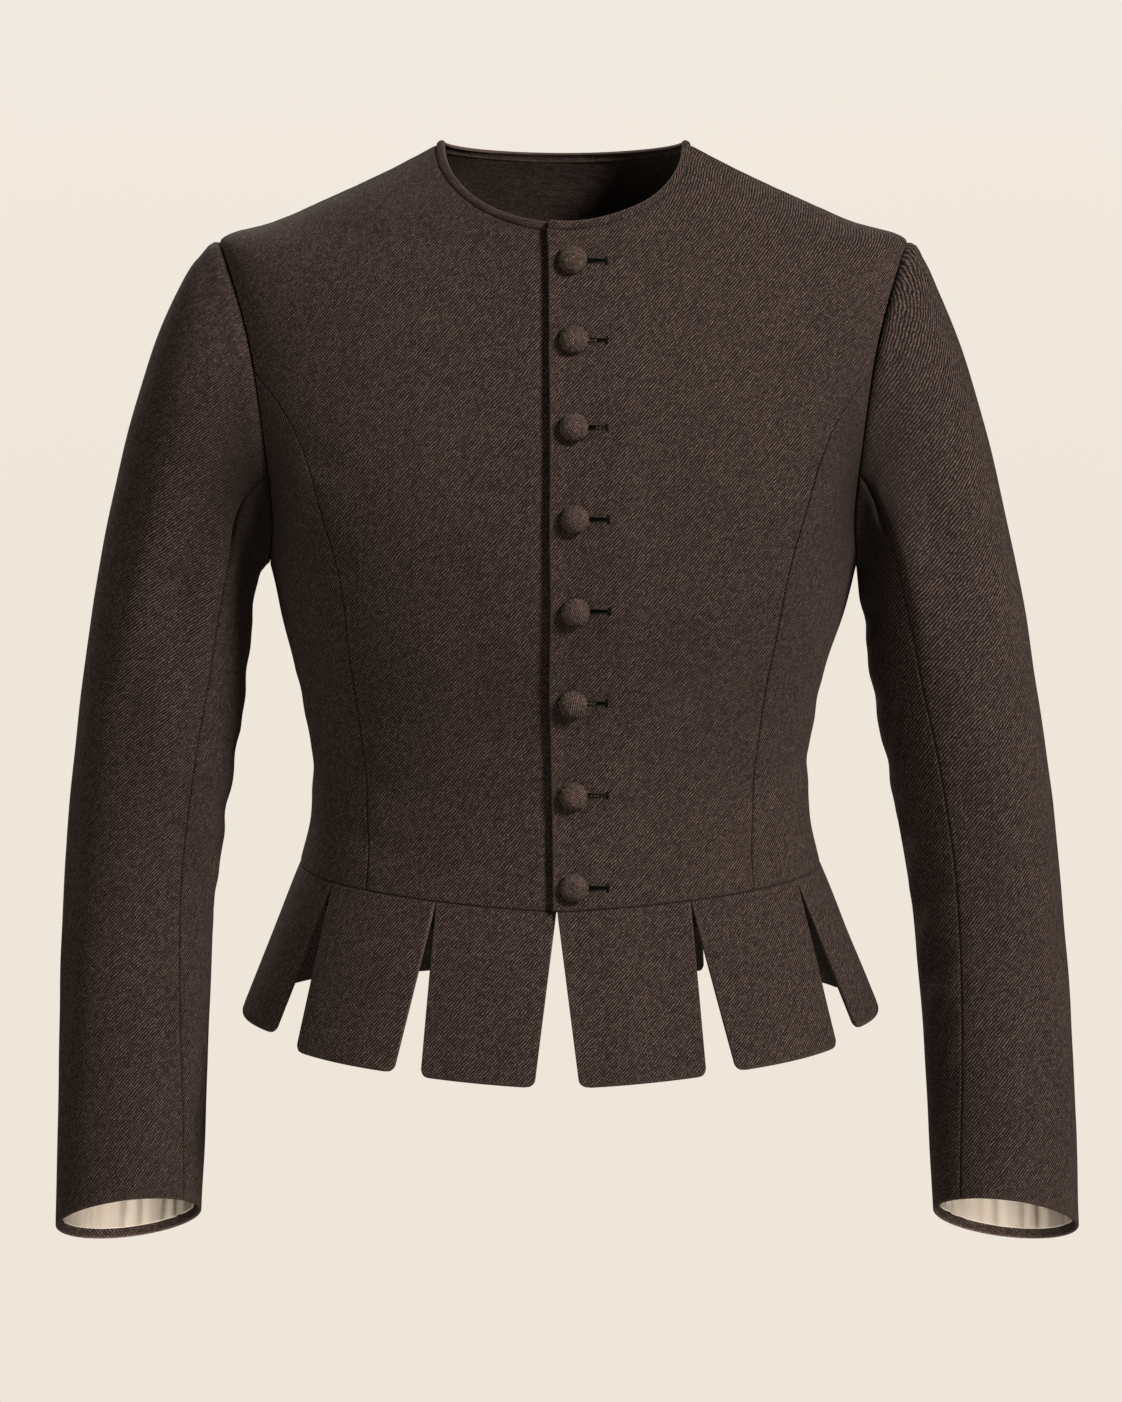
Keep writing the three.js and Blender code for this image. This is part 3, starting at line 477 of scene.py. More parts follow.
front_seam = panel_seam(FRONT_PANEL_SEAM, FRONT_PANEL_TURN)
back_seam = panel_seam(BACK_PANEL_SEAM, BACK_PANEL_TURN)


def lap_lift(angle, station):
    """How far the left front stands out over the right one, and curls up at its edge."""
    x = body_point(angle, station)[..., 0]
    curl = LAP_CURL * (1 - smoothstep(x - left_edge(station), 0, LAP_CURL_REACH))
    return (CLOTH + GAP) * (1 - smoothstep(x, LAP_FLAT, LAP_END)) + curl


def lap_press(angle, station):
    """How the right front, given at the wearer's left, dips beside the left one's edge."""
    beside = -body_point(angle, station)[..., 0] - left_edge(station)
    return -LAP_PRESS * np.exp(-((beside / LAP_PRESS_REACH) ** 2))


def below_neck(angle, distance):
    step = 0.1
    rise = norm(body_point(angle, NECK) - body_point(angle, NECK - step)) / step
    return NECK - distance / rise


def left_edge(station):
    return mix(LEFT_EDGE_WAIST, LEFT_EDGE_TOP, smoothstep(station, 0, LEFT_EDGE_STRAIGHT))


def shifted(points):
    """The points with the waist moved over to the side that it stands to."""
    share = 1 - smoothstep(points[..., 2], SHIFT_ALL_Z, SHIFT_FROM_Z)
    return points + stacked(WAIST_SHIFT * share, 0 * share, 0 * share)


# ------------------------------------------------------------------ shells of cloth

EDGE_OFFSETS = np.array([0, 0.08, 0.3, 0.62, 1.0, 1.45, 1.95, 2.8])  # where an edge's columns lie
EDGE_PLACES = {"start": np.s_[:, 0], "end": np.s_[:, -1], "bottom": 0, "top": -1}  # in a grid
CALM_REACH = 5  # creases and swell are low this near to an edge
CALM_LEAST = 0.25
PAINTED_SHADE_REACH = 0.7  # how far the painted shade of a seam, and the wear and painted highlight of an edge, reach
WEAR_AND_HIGHLIGHT_REACH = 1.1


def shares_with_edges(length, step=GRID_STEP, low=True, high=True):
    """Shares of a length, close together at those of its ends that have an edge."""
    start = EDGE_OFFSETS / length if low else np.zeros(1)
    end = 1 - EDGE_OFFSETS[::-1] / length if high else np.ones(1)
    count = max(int(round((end[0] - start[-1]) * length / step)), 1)
    return np.concatenate([start, np.linspace(start[-1], end[0], count + 1)[1:-1], end])


def run(points, axis, keep):
    """The lengths along a grid's rows or columns, measured only in the axes to keep."""
    steps = np.diff(points, axis=axis)[..., keep]
    lengths = np.cumsum(norm(steps), axis=axis)
    pad = [(0, 0), (0, 0)]
    pad[axis] = (1, 0)
    return np.pad(lengths, pad)


def turned_under(distance, reach, depth):
    """How far a rounded edge has dropped at a distance from its end."""
    s = np.clip(1 - distance / reach, 0, 1)
    return depth * (1 - np.sqrt(1 - s * s))


def crease_depth(across, z, creases, wrap=None, scale=1.0):
    """How far the creases push a grid in. wrap is the turn after which across comes round."""
    depth = np.zeros(np.shape(z))
    for crease in rows_of(CREASE_COLUMNS, creases):
        middle = (crease["from_across"] + crease["to_across"]) / 2
        if wrap and crease["from_across"] - crease["to_across"] > wrap / 2:
            middle += wrap / 2
        offset = across - middle
        begin, end = crease["from_across"] - middle, crease["to_across"] - middle
        if wrap:
            offset, begin, end = ((v + wrap / 2) % wrap - wrap / 2 for v in (offset, begin, end))
        offset, begin, end = offset * scale, begin * scale, end * scale
        rise = crease["to_z"] - crease["from_z"]
        square = (end - begin) ** 2 + rise**2
        along = ((offset - begin) * (end - begin) + (z - crease["from_z"]) * rise) / square
        s = np.clip(along, 0, 1)
        off_x = offset - mix(begin, end, s)
        off_z = z - mix(crease["from_z"], crease["to_z"], s)
        q = np.sqrt(off_x**2 + off_z**2) / crease["width"]
        trough = np.exp(-q * q) - 0.4 * np.exp(-((q - 1.9) ** 2) / 0.7)
        depth += crease["depth"] * trough * np.sin(np.pi * s) ** 0.8
    return depth


def waves(x, table):
    return sum(np.sin(2 * np.pi * x / length + phase) for length, phase in table) / len(table)


def swell(u, v):
    total = 0
    for length, lean, phase in SWELL_WAVES:
        across = u * math.cos(lean) + v * math.sin(lean)
        total = total + np.sin(2 * np.pi * across / length + phase)
    return SWELL * total / len(SWELL_WAVES)


def around_axis(points, axis):
    """How far round an upright tube each point lies, from its front towards the wearer's left."""
    x, y = (np.polyval(np.polyfit(axis[:, 2], axis[:, k], 2), points[..., 2]) for k in (0, 1))
    turn = np.arctan2(points[..., 0] - x, y - points[..., 1])
    first = np.unwrap(turn[:, 0])
    turn = np.unwrap(turn, axis=1)
    return SLEEVE_RADIUS * (turn + (first - turn[:, 0])[:, None])


def edges_of(start, end, bottom, top):
    return {"start": start, "end": end, "bottom": bottom, "top": top}


def faces_of(*corners):
    """The faces whose corners are at the same places of three or four grids."""
    return stacked(*(corner.ravel() for corner in corners)).tolist()


def ring_grid(rows, count, first=0):
    """The numbers of a tube's points, ring by ring, and of the next point round from each."""
    index = first + np.arange(rows * count).reshape(rows, count)
    return index, np.roll(index, -1, axis=1)


def ring_faces(rows, count, first=0):
    index, ahead = ring_grid(rows, count, first)
    return faces_of(index[:-1], ahead[:-1], ahead[1:], index[1:])


def shell(name, outer, ways, thickness, edges, side, creases, material, upward=1, axis=None):
    """A closed shell of cloth. outer is a grid of points on its face and ways point into it.

    edges says for start, end, bottom and top whether each is a seam, which rolls under to meet
    its neighbour, or free, which is turned and round. The start and end are the first and last
    column. The grid is given at the wearer's left, and side -1 mirrors it. upward is -1 where
    the rows run down. The weave follows the grid, or goes round a sleeve's axis."""
    mirror = mirror_to(side)
    outer, ways = outer * mirror, ways * mirror
    along, up = run(outer, 1, [0, 1, 2]), run(outer, 0, [0, 1, 2])
    reaches = {"start": along, "end": along[:, -1:] - along, "bottom": up, "top": up[-1:] - up}
    u = outer[:, :1, 0] + side * run(outer, 1, [0, 1])
    v = outer[:1, :, 2] + upward * run(outer, 0, [1, 2])
    if axis is not None:
        u, v = around_axis(outer, axis * mirror), outer[..., 2]

    drop, rise, worn, tuck = (np.zeros(along.shape) for _ in range(4))
    depth = swell(u, v) + creases
    for edge, kind in edges.items():
        distance = reaches[edge]
        place = up if edge in ("start", "end") else along
        if kind in SEAMS:
            reach, fall, shade = SEAMS[kind]
            drop = np.maximum(drop, turned_under(distance, reach, fall))
            # Painted shade darkens the cloth along the seam.
            tuck = np.maximum(tuck, shade * np.exp(-((distance / PAINTED_SHADE_REACH) ** 2)))
            ripple = 0.5 + 0.5 * waves(place, PUCKER_WAVES)
            depth = depth + PUCKER * ripple * np.exp(-distance / PUCKER_REACH)
        if kind == "free":
            roll = turned_under(distance, thickness / 2, thickness / 2)
            drop, rise = np.maximum(drop, roll), np.maximum(rise, roll)
            # A free edge is lightened, partly as wear and partly as painted highlight where it
            # catches the light.
            worn = np.maximum(worn, np.exp(-((distance / WEAR_AND_HIGHLIGHT_REACH) ** 2)))
    edge_calm = np.minimum.reduce([smoothstep(reaches[edge], 0, CALM_REACH) for edge in edges])
    depth = depth * mix(CALM_LEAST, 1.0, edge_calm)
    face = outer + ways * (drop + depth)[..., None]
    # Painted shade round each armpit, where the pocket between sleeve and body lies in shade.
    from_armpit = (face * mirror - ARMPIT_MIDDLE) / ARMPIT_REACH
    tuck = np.maximum(tuck, ARMPIT_PAINTED_SHADE * np.exp(-(from_armpit**2).sum(axis=-1)))
    back = outer + ways * (thickness - rise + depth)[..., None]

    rows, columns = along.shape
    index = np.arange(rows * columns).reshape(rows, columns)
    under = index + rows * columns
    for edge, place in EDGE_PLACES.items():
        if edges[edge] == "free":
            under[place] = index[place]
    faces = faces_of(index[:-1, :-1], index[:-1, 1:], index[1:, 1:], index[1:, :-1])
    faces += faces_of(under[:-1, :-1], under[1:, :-1], under[1:, 1:], under[:-1, 1:])
    for edge, way in (("bottom", 1), ("top", -1), ("start", -1), ("end", 1)):
        if edges[edge] != "free":
            a, b = index[EDGE_PLACES[edge]][::way], under[EDGE_PLACES[edge]][::way]
            faces += faces_of(a[1:], a[:-1], b[:-1], b[1:])
    uv = stacked(u, v).reshape(-1, 2)
    piece = add_mesh(
        name,
        np.concatenate([face.reshape(-1, 3), back.reshape(-1, 3)]),
        faces,
        np.concatenate([uv, uv]),
        material,
        worn=np.tile(worn.ravel(), 2),
        tuck=np.tile(tuck.ravel(), 2),
    )
    area = norm(np.cross(np.diff(face, axis=1)[:-1], np.diff(face, axis=0)[:, :-1])).sum()
    return piece, (along[:, -1].max(), up[-1].max(), area), face


def add_object(name, data):
    added = bpy.data.objects.new(name, data)
    bpy.context.scene.collection.objects.link(added)
    return added


def add_mesh(name, points, faces, uv, material, **attributes):
    """A new object of these points, in millimetres, with its faces pointing out."""
    faces = [list(dict.fromkeys(face)) for face in faces]
    faces = [face for face in faces if len(face) > 2]
    points = np.asarray(points, float)
    first = points[[face[0] for face in faces]]
    volume = 0.0
    for k in (1, 2):
        have = [i for i, face in enumerate(faces) if len(face) > k + 1]
        b = points[[faces[i][k] for i in have]]
        c = points[[faces[i][k + 1] for i in have]]
        volume += (first[have] * np.cross(b, c)).sum()
    if volume < 0:
        faces = [face[::-1] for face in faces]
    used = np.unique(np.concatenate([np.array(face) for face in faces]))
    renumbered = np.full(len(points), -1)
    renumbered[used] = np.arange(len(used))
    mesh = bpy.data.meshes.new(name)
    faces = [renumbered[face].tolist() for face in faces]
    mesh.from_pydata((points[used] * MM).tolist(), [], faces)
    layer = mesh.uv_layers.new(name="cloth")
    corners = np.zeros(len(mesh.loops), dtype=np.int32)
    mesh.loops.foreach_get("vertex_index", corners)
    layer.data.foreach_set("uv", (np.asarray(uv)[used][corners] * MM).astype(np.float32).ravel())
    for key, values in attributes.items():
        attribute = mesh.attributes.new(key, "FLOAT", "POINT")
        attribute.data.foreach_set("value", np.asarray(values, np.float32)[used])
    mesh.polygons.foreach_set("use_smooth", np.ones(len(mesh.polygons), dtype=bool))
    mesh.materials.append(material)
    mesh.update()
    return add_object(f"{name}_cloth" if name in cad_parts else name, mesh)


def dress(piece, node):
    """Puts a piece in place of its node."""
    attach(piece, "root")
    if node:
        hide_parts(node)


# ------------------------------------------------------------------ materials

TWILL_PITCH = 1.62
TWILL_ANGLE = 48  # degrees that its ridges rise from level, to the right
FLOAT_LENGTH = 2.3  # of the yarn that shows on a ridge before it dips under
# On a ridge of the twill and in a valley: the yarn's brown, with painted highlight on the ridges
# and painted shade in the valleys.
WOOL_RIDGE_HIGHLIT = (0.180, 0.1360, 0.0970)
WOOL_VALLEY_SHADED = (0.0108, 0.0076, 0.0052)
OLIVE = (1.05, 1.02, 0.62)
PLUM = (1.03, 0.92, 1.10)
RIDGE_SHARPNESS = 1.5
DIP_SHARPNESS = 3.0
DIP = -0.35  # how much lower a ridge is where its yarn dips under
CALM_TONE = 0.42  # of cloth drawn so flat that no ribs show: at worn, highlighted edges and under painted shade
CALM_MOST = 0.92
FUZZ_SCALE = 1500.0
FUZZ_HEIGHT = 0.35
# The noises that move the ridges sideways, in ridges, and that change the brightness, in shares.
NOISE_COLUMNS = ("scale", "detail", "low", "high")
NOISES = {
    "wander": [170.0, 2.0, -0.55, 0.55],
    "hairs": [1100.0, 2.0, -0.32, 0.32],
    "cloud": [11.0, 3.0, 0.80, 1.22],
    "fleck": [620.0, 2.0, 0.35, 1.72],
}
GRAIN = (0.12, 1.95)
HEATHER_SPREAD = (-2.45, 2.0)  # from olive to plum
YARN_HEATHER = 0.9
YARN_TONE = (0.5, 1.15)
# How much a free edge is lightened, as wear and painted highlight.
WEAR_AND_HIGHLIGHT_LIFT = 1.45
# How far the painted shade of seams and armpits darkens the cloth, per unit of shade.
PAINTED_SHADE_FACTOR = 0.45


class Shader:
    """Makes the nodes of one material."""

    def __init__(self, name):
        self.material = bpy.data.materials.new(name)
        self.material.use_nodes = True
        self.tree = self.material.node_tree
        self.tree.nodes.clear()

    def node(self, kind, inputs=None, **settings):
        node = self.tree.nodes.new("ShaderNode" + kind)
        for key, value in settings.items():
            setattr(node, key, value)
        for key, value in (inputs or {}).items():
            if isinstance(value, bpy.types.NodeSocket):
                self.tree.links.new(value, node.inputs[key])
            else:
                node.inputs[key].default_value = value
        return node

    def math(self, operation, *values):
        return self.node("Math", dict(enumerate(values)), operation=operation).outputs[0]

    def product(self, *values):
        result = values[0]
        for value in values[1:]:
            result = self.math("MULTIPLY", result, value)
        return result

    def blend(self, share, a, b, how="MIX"):
        node = self.node("Mix", {0: share, 6: a, 7: b}, data_type="RGBA", blend_type=how)
        return node.outputs[2]

    def noise(self, vector, scale, detail=2.0):
        inputs = {"Vector": vector, "Scale": scale, "Detail": detail}
        return self.node("TexNoise", inputs).outputs["Fac"]

    def white_noise(self, number):
        vector = self.node("CombineXYZ", number).outputs[0]
        return self.node("TexWhiteNoise", {"Vector": vector}, noise_dimensions="3D").outputs

    def spread(self, name, vector):
        facts = dict(zip(NOISE_COLUMNS, NOISES[name]))
        noise = self.noise(vector, facts["scale"], facts["detail"])
        return self.between(noise, facts["low"], facts["high"])

    def between(self, value, low, high):
        """A value from 0 to 1 spread from low to high."""
        return self.math("MULTIPLY_ADD", value, high - low, low)

    def cloth(self, colour, height, relief, deep, gloss):
        """The finished material, with bumps deep millimetres high at a relief of 1."""
        bump = self.node("Bump", {"Strength": relief, "Distance": deep * MM, "Height": height})
        inputs = {"Base Color": colour, **gloss, "Normal": bump.outputs[0]}
        return self.finish(self.node("BsdfPrincipled", inputs).outputs[0])

    def finish(self, surface):
        self.node("OutputMaterial", {"Surface": surface})
        return self.material


def twill(shader, wobble, pitch):
    """The twill's height and its tone, from 0 in a valley to 1 on a ridge, and a colour a yarn."""
    uv = shader.node("UVMap", uv_map="cloth").outputs[0]
    split = shader.node("SeparateXYZ", {0: uv}).outputs
    slope = math.radians(TWILL_ANGLE)
    unevenness = shader.between(shader.noise(uv, 26.0), -wobble, wobble)

    def along(u_share, v_share, length):
        u = shader.product(split[0], u_share / (length * MM))
        return shader.math("MULTIPLY_ADD", split[1], v_share / (length * MM), u)

    across = along(-math.sin(slope), math.cos(slope), pitch)
    for offset in (unevenness, shader.spread("wander", uv), shader.spread("hairs", uv)):
        across = shader.math("ADD", across, offset)
    ridge_number = shader.math("FLOOR", across)
    wave = shader.math("COSINE", shader.product(across, 2 * math.pi))
    ridge = shader.math("POWER", shader.math("MULTIPLY_ADD", wave, -0.5, 0.5), RIDGE_SHARPNESS)
    step = shader.white_noise({0: ridge_number})[0]
    run_on = shader.math("ADD", along(math.cos(slope), math.sin(slope), FLOAT_LENGTH), step)
    float_number = shader.math("FLOOR", run_on)
    part = shader.math("FRACT", run_on)
    middle = shader.math("ABSOLUTE", shader.math("MULTIPLY_ADD", part, 2.0, -1.0))
    dip = shader.math("POWER", middle, DIP_SHARPNESS)
    ridge = shader.product(ridge, shader.math("MULTIPLY_ADD", dip, DIP, 1.0))
    yarn = shader.white_noise({0: ridge_number, 1: float_number})
    return ridge, shader.product(ridge, shader.between(yarn[0], *YARN_TONE)), yarn[1]


def wool(name, brightness=1.0, wobble=0.6, relief=0.5, pitch=TWILL_PITCH):
    """Brown wool twill: ribbed, heathered in olive and plum, with a short nap."""
    shader = Shader(name)
    place = shader.node("TexCoord").outputs["Object"]
    ridge, tone, yarn = twill(shader, wobble, pitch)
    # Edges lightened by wear and painted highlight, and painted shade at seams and armpits; both
    # also draw the ribs flat.
    worn = shader.node("Attribute", attribute_name="worn").outputs["Fac"]
    tuck = shader.node("Attribute", attribute_name="tuck").outputs["Fac"]
    flat = shader.math("MAXIMUM", worn, shader.product(tuck, 0.6))
    flat = shader.math("MINIMUM", flat, CALM_MOST)
    tone = shader.math("MULTIPLY_ADD", flat, shader.math("SUBTRACT", CALM_TONE, tone), tone)
    ridge = shader.product(ridge, shader.math("SUBTRACT", 1.0, flat))
    fuzz = shader.noise(place, FUZZ_SCALE, 3.0)
    # From painted shade in the valleys to painted highlight on the ridges.
    ends = ((*(part * brightness for part in colour), 1) for colour in (WOOL_VALLEY_SHADED, WOOL_RIDGE_HIGHLIT))
    colour = shader.blend(tone, *ends)
    heather = shader.math("ADD", shader.noise(place, 34.0, 4.0), shader.noise(place, 210.0, 3.0))
    mixed = shader.node("SeparateColor", {0: yarn}).outputs[1]
    heather = shader.between(heather, *HEATHER_SPREAD)
    heather = shader.math("MULTIPLY_ADD", mixed, YARN_HEATHER, heather)
    tint = shader.blend(heather, (*OLIVE, 1), (*PLUM, 1))
    colour = shader.blend(1.0, colour, tint, "MULTIPLY")
    level = shader.product(
        shader.between(fuzz, *GRAIN),
        shader.spread("cloud", place),
        shader.spread("fleck", place),
        shader.between(worn, 1.0, WEAR_AND_HIGHLIGHT_LIFT),
        shader.between(tuck, 1.0, PAINTED_SHADE_FACTOR),
    )
    grey = shader.node("CombineColor", {0: level, 1: level, 2: level}).outputs[0]
    colour = shader.blend(1.0, colour, grey, "MULTIPLY")
    height = shader.math("MULTIPLY_ADD", fuzz, FUZZ_HEIGHT, ridge)
    return shader.cloth(colour, height, relief, 0.45, {
        "Roughness": 0.92,
        "Specular IOR Level": 0.18,
        "Sheen Weight": 0.07,
        "Sheen Roughness": 0.5,
        "Sheen Tint": (0.75, 0.62, 0.52, 1),
    })


def lining_cloth(name):
    """A smooth cream lining with a fine even weave."""
    shader = Shader(name)
    place = shader.node("TexCoord").outputs["Object"]
    uv = shader.node("UVMap", uv_map="cloth").outputs[0]
    split = shader.node("SeparateXYZ", {0: uv}).outputs
    threads = [
        shader.math("SINE", shader.product(split[axis], 2 * math.pi / (0.5 * MM)))
        for axis in (0, 1)
    ]
    weave = shader.product(*threads)
    cloud = shader.noise(place, 60.0, 3.0)
    colour = shader.blend(cloud, (0.68, 0.565, 0.46, 1), (0.83, 0.74, 0.64, 1))
    height = shader.math("MULTIPLY_ADD", cloud, 2.0, weave)
    return shader.cloth(colour, height, 0.25, 0.1, {"Roughness": 0.55, "Sheen Weight": 0.1})


def thread(name, dark, light):
    """Twisted sewing thread."""
    shader = Shader(name)
    place = shader.node("TexCoord").outputs["Object"]
    strand = shader.noise(place, 2600.0, 2.0)
    colour = shader.blend(strand, (*dark, 1), (*light, 1))
    gloss = {"Roughness": 0.8, "Specular IOR Level": 0.08}
    return shader.cloth(colour, strand, 0.4, 0.1, gloss)


WOOL = wool("brown wool twill")
WOOL_SLEEVE = wool("brown wool twill of the sleeves", 0.98, 0.8)
WOOL_BAND = wool("brown wool band")
# The facing is this wool at 0.6 of its brightness, as painted shade behind the waist seam.
WOOL_FACING_SHADED = wool("brown wool facing", 0.6)
# The buttons' cover is this wool with a finer twill, made 1.6 times as bright as painted light on
# the domes.
WOOL_BUTTON_LIT = wool("brown wool over the buttons", 1.6, 0.9, 0.7, 1.15)
LINING = lining_cloth("cream lining")
HOLE_THREAD = thread("buttonhole twist", (0.0050, 0.0043, 0.0034), (0.0170, 0.0145, 0.0112))
CORD_THREAD = thread("buttonhole cord", (0.042, 0.036, 0.027), (0.092, 0.080, 0.060))
# The slit is a near-black sheet of painted shadow, made with the thread's material.
SLIT_PAINTED_SHADOW = thread("buttonhole slit", (0.002, 0.002, 0.002), (0.004, 0.003, 0.003))
EDGE_THREAD = thread("edge stitches", (0.07, 0.052, 0.038), (0.16, 0.125, 0.095))

# ------------------------------------------------------------------ bodice panels


def outer_edge(seam, turn, way):
    """The stations of a front's or back's rows, its outer edge's angles, and the yoke's row."""
    junction = float(armhole(turn)[1])
    climb = body_point(60.0, np.linspace(0, junction, 40))
    height = float(norm(np.diff(climb, axis=0)).sum())
    lower = shares_with_edges(height, high=False)[:-1] * junction
    turns = turn + way * np.linspace(0, abs(180 - turn), 44)
    middle_angles, middle_stations = armhole(turns)
    yoke = mix(SHOULDER, NECK, shares_with_edges(150, low=False))[1:]
    stations = np.concatenate([lower, middle_stations, yoke])
    angles = np.concatenate([seam(lower), middle_angles, np.full(len(yoke), 90.0)])
    return stations, angles, len(lower) + len(middle_stations) - 1


def panel_grid(stations, starts, ends, yoke_row):
    """The angle and station of each point of a panel that reaches up to the neck's band."""
    widths = [ring_length(a, b, s) for a, b, s in zip(starts, ends, stations)]
    count = int(round(max(widths) / GRID_STEP))
    edge = len(EDGE_OFFSETS)
    shares = []
    for width in widths:
        share = shares_with_edges(max(width, NARROWEST), step=np.inf)
        inside = np.linspace(share[edge - 1], share[-edge], count + 1)[1:-1]
        shares.append(np.concatenate([share[:edge], inside, share[-edge:]]))
    angles = angles_along(starts, ends, stations, np.array(shares))
    station = np.minimum(stations[:, None], below_neck(angles, BINDING_WIDTH))
    top = station[-1]
    share = ((stations - SHOULDER) / (NECK - SHOULDER))[yoke_row + 1:, None]
    station[yoke_row + 1:] = mix(station[yoke_row], top, share)
    return angles, station


def bodice_panel(name, angles, stations, edges, side=1, lift=0.0):
    points, normals = body_point(angles, stations), body_normal(angles, stations)
    points = points + normals * np.asarray(lift)[..., None]
    creases = crease_depth(side * points[..., 0], points[..., 2], BODICE_CREASES[name])
    moved = shifted(points * mirror_to(side)) * mirror_to(side)
    piece, size, _ = shell(name, moved, -normals, CLOTH, edges, side, creases, WOOL)
    dress(piece, name)


def fronts():
    stations, ends, yoke_row = outer_edge(front_seam, FRONT_PANEL_TURN, 1)
    edges = edges_of("free", "seam", "seam", "soft")
    for name, side, edge_x, lift in (
        ("front_left", 1, left_edge(stations), lap_lift),
        ("front_right", -1, np.full(len(stations), -float(UNDERLAP)), lap_press),
    ):
        grid = panel_grid(stations, angle_at_x(edge_x, stations), ends, yoke_row)
        bodice_panel(name, *grid, edges, side, lift(*grid))


def back():
    stations, starts, yoke_row = outer_edge(back_seam, BACK_PANEL_TURN, -1)
    grid = panel_grid(stations, starts, 360 - starts, yoke_row)
    bodice_panel("back", *grid, edges_of("seam", "seam", "seam", "soft"))


def side_panels():
    first, last = FRONT_PANEL_TURN, BACK_PANEL_TURN - 360
    front_top, back_top = float(armhole(first)[1]), float(armhole(BACK_PANEL_TURN)[1])
    v = shares_with_edges(330)[:, None]
    u = shares_with_edges(160)[None, :]
    foot = armhole(mix(first, last, u) % 360)
    corners = [
        mix(mix(low_start, low_end, u), mix(top_start, top_end, u), v)
        for low_start, low_end, top_start, top_end in (
            (front_seam(0), back_seam(0), armhole(first)[0], armhole(BACK_PANEL_TURN)[0]),
            (0, 0, front_top, back_top),
        )
    ]
    start = (front_seam(v * front_top), v * front_top)
    end = (back_seam(v * back_top), v * back_top)
    foot_row = (mix(front_seam(0), back_seam(0), u), 0 * u)
    angles, stations = (
        mix(foot_row[i], foot[i], v) + mix(start[i], end[i], u) - corners[i] for i in (0, 1)
    )
    edges = edges_of("seam", "seam", "seam", "seam")
    for name, side in SIDES.items():
        bodice_panel(f"side_panel_{name}", angles, stations, edges, side)


def neck_binding():
    """The band round the neck: it swells between its seam and the turned edge."""
    middle = below_neck(0.0, BINDING_WIDTH / 2)
    start, end = angle_at_x(LEFT_EDGE_TOP, middle), 360 + angle_at_x(UNDERLAP, middle)
    angle = mix(start, end, shares_with_edges(520, 2.2))[None, :]
    below = np.array([6, 5.9, 5.6, 5.2, 4.7, 4.1, 3.4, 2.7, 2.0, 1.5, 1.0, 0.62, 0.3, 0.08, 0])
    below = (below * BINDING_WIDTH / 6)[:, None]
    angles, stations = np.broadcast_arrays(angle, below_neck(angle, below))
    points, normals = body_point(angles, stations), body_normal(angles, stations)
    lift = np.where(angles < 90, lap_lift(angles, stations), 0)
    swelling = BINDING_PROUD * np.sin(np.pi * np.clip(below / BINDING_WIDTH, 0, 1)) ** 0.7
    outer = points + normals * (lift + swelling)[..., None]
    edges = edges_of("free", "free", "soft", "free")
    piece, size, _ = shell("neck_binding", outer, -normals, CLOTH + 0.4, edges, 1, 0, WOOL_BAND)
    dress(piece, "neck_binding")


def waist_facing():
    start, end = angle_at_x(FACING_START_LEFT, 0), 360 - angle_at_x(FACING_START_RIGHT, 0)
    angle = mix(start, end, shares_with_edges(760, 4))[None, :]
    depth = FACING_RISE + WAIST_FACING + 1.6
    down = (depth * shares_with_edges(depth, 2.5) - FACING_RISE)[:, None]
    seam = body_point(angle, 0.0)
    normals = body_normal(angle, 0.0)
    level = unit(normals * np.array([1, 1, 0]))
    outer = seam - normals * FACING_INSET
    outer = np.broadcast_to(outer, (len(down), *outer.shape[1:])).copy()
    outer[..., 2] = seam[..., 2] - down
    ways = -np.broadcast_to(level, outer.shape)
    edges = edges_of("free", "free", "free", "free")
    piece, size, _ = shell(
        "waist_facing", shifted(outer), ways, FACING_CLOTH, edges, 1, 0, WOOL_FACING_SHADED, upward=-1
    )
    dress(piece, "waist_facing")


# ------------------------------------------------------------------ the skirt

STITCH_PITCH = 2.1
STITCH_LENGTH = 0.95
STITCH_THICK = 0.3
THREAD_SIDES = 5
THREAD_TAPER = 0.62  # how thick a thread is at its ends, in shares
NOT_ALONG = [0.31, 0.17, 0.93]  # a way that no thread runs in


def tab_angles(start_x, edges):
    front = [float(angle_at_x(x, 0)) for x in [start_x] + [x for x in edges if x is not None]]
    parts = len(edges) + 1 - len(front)
    shares = np.arange(1, parts + 1) / parts
    return front + list(angles_along(front[-1], 180, 0, shares)[0])


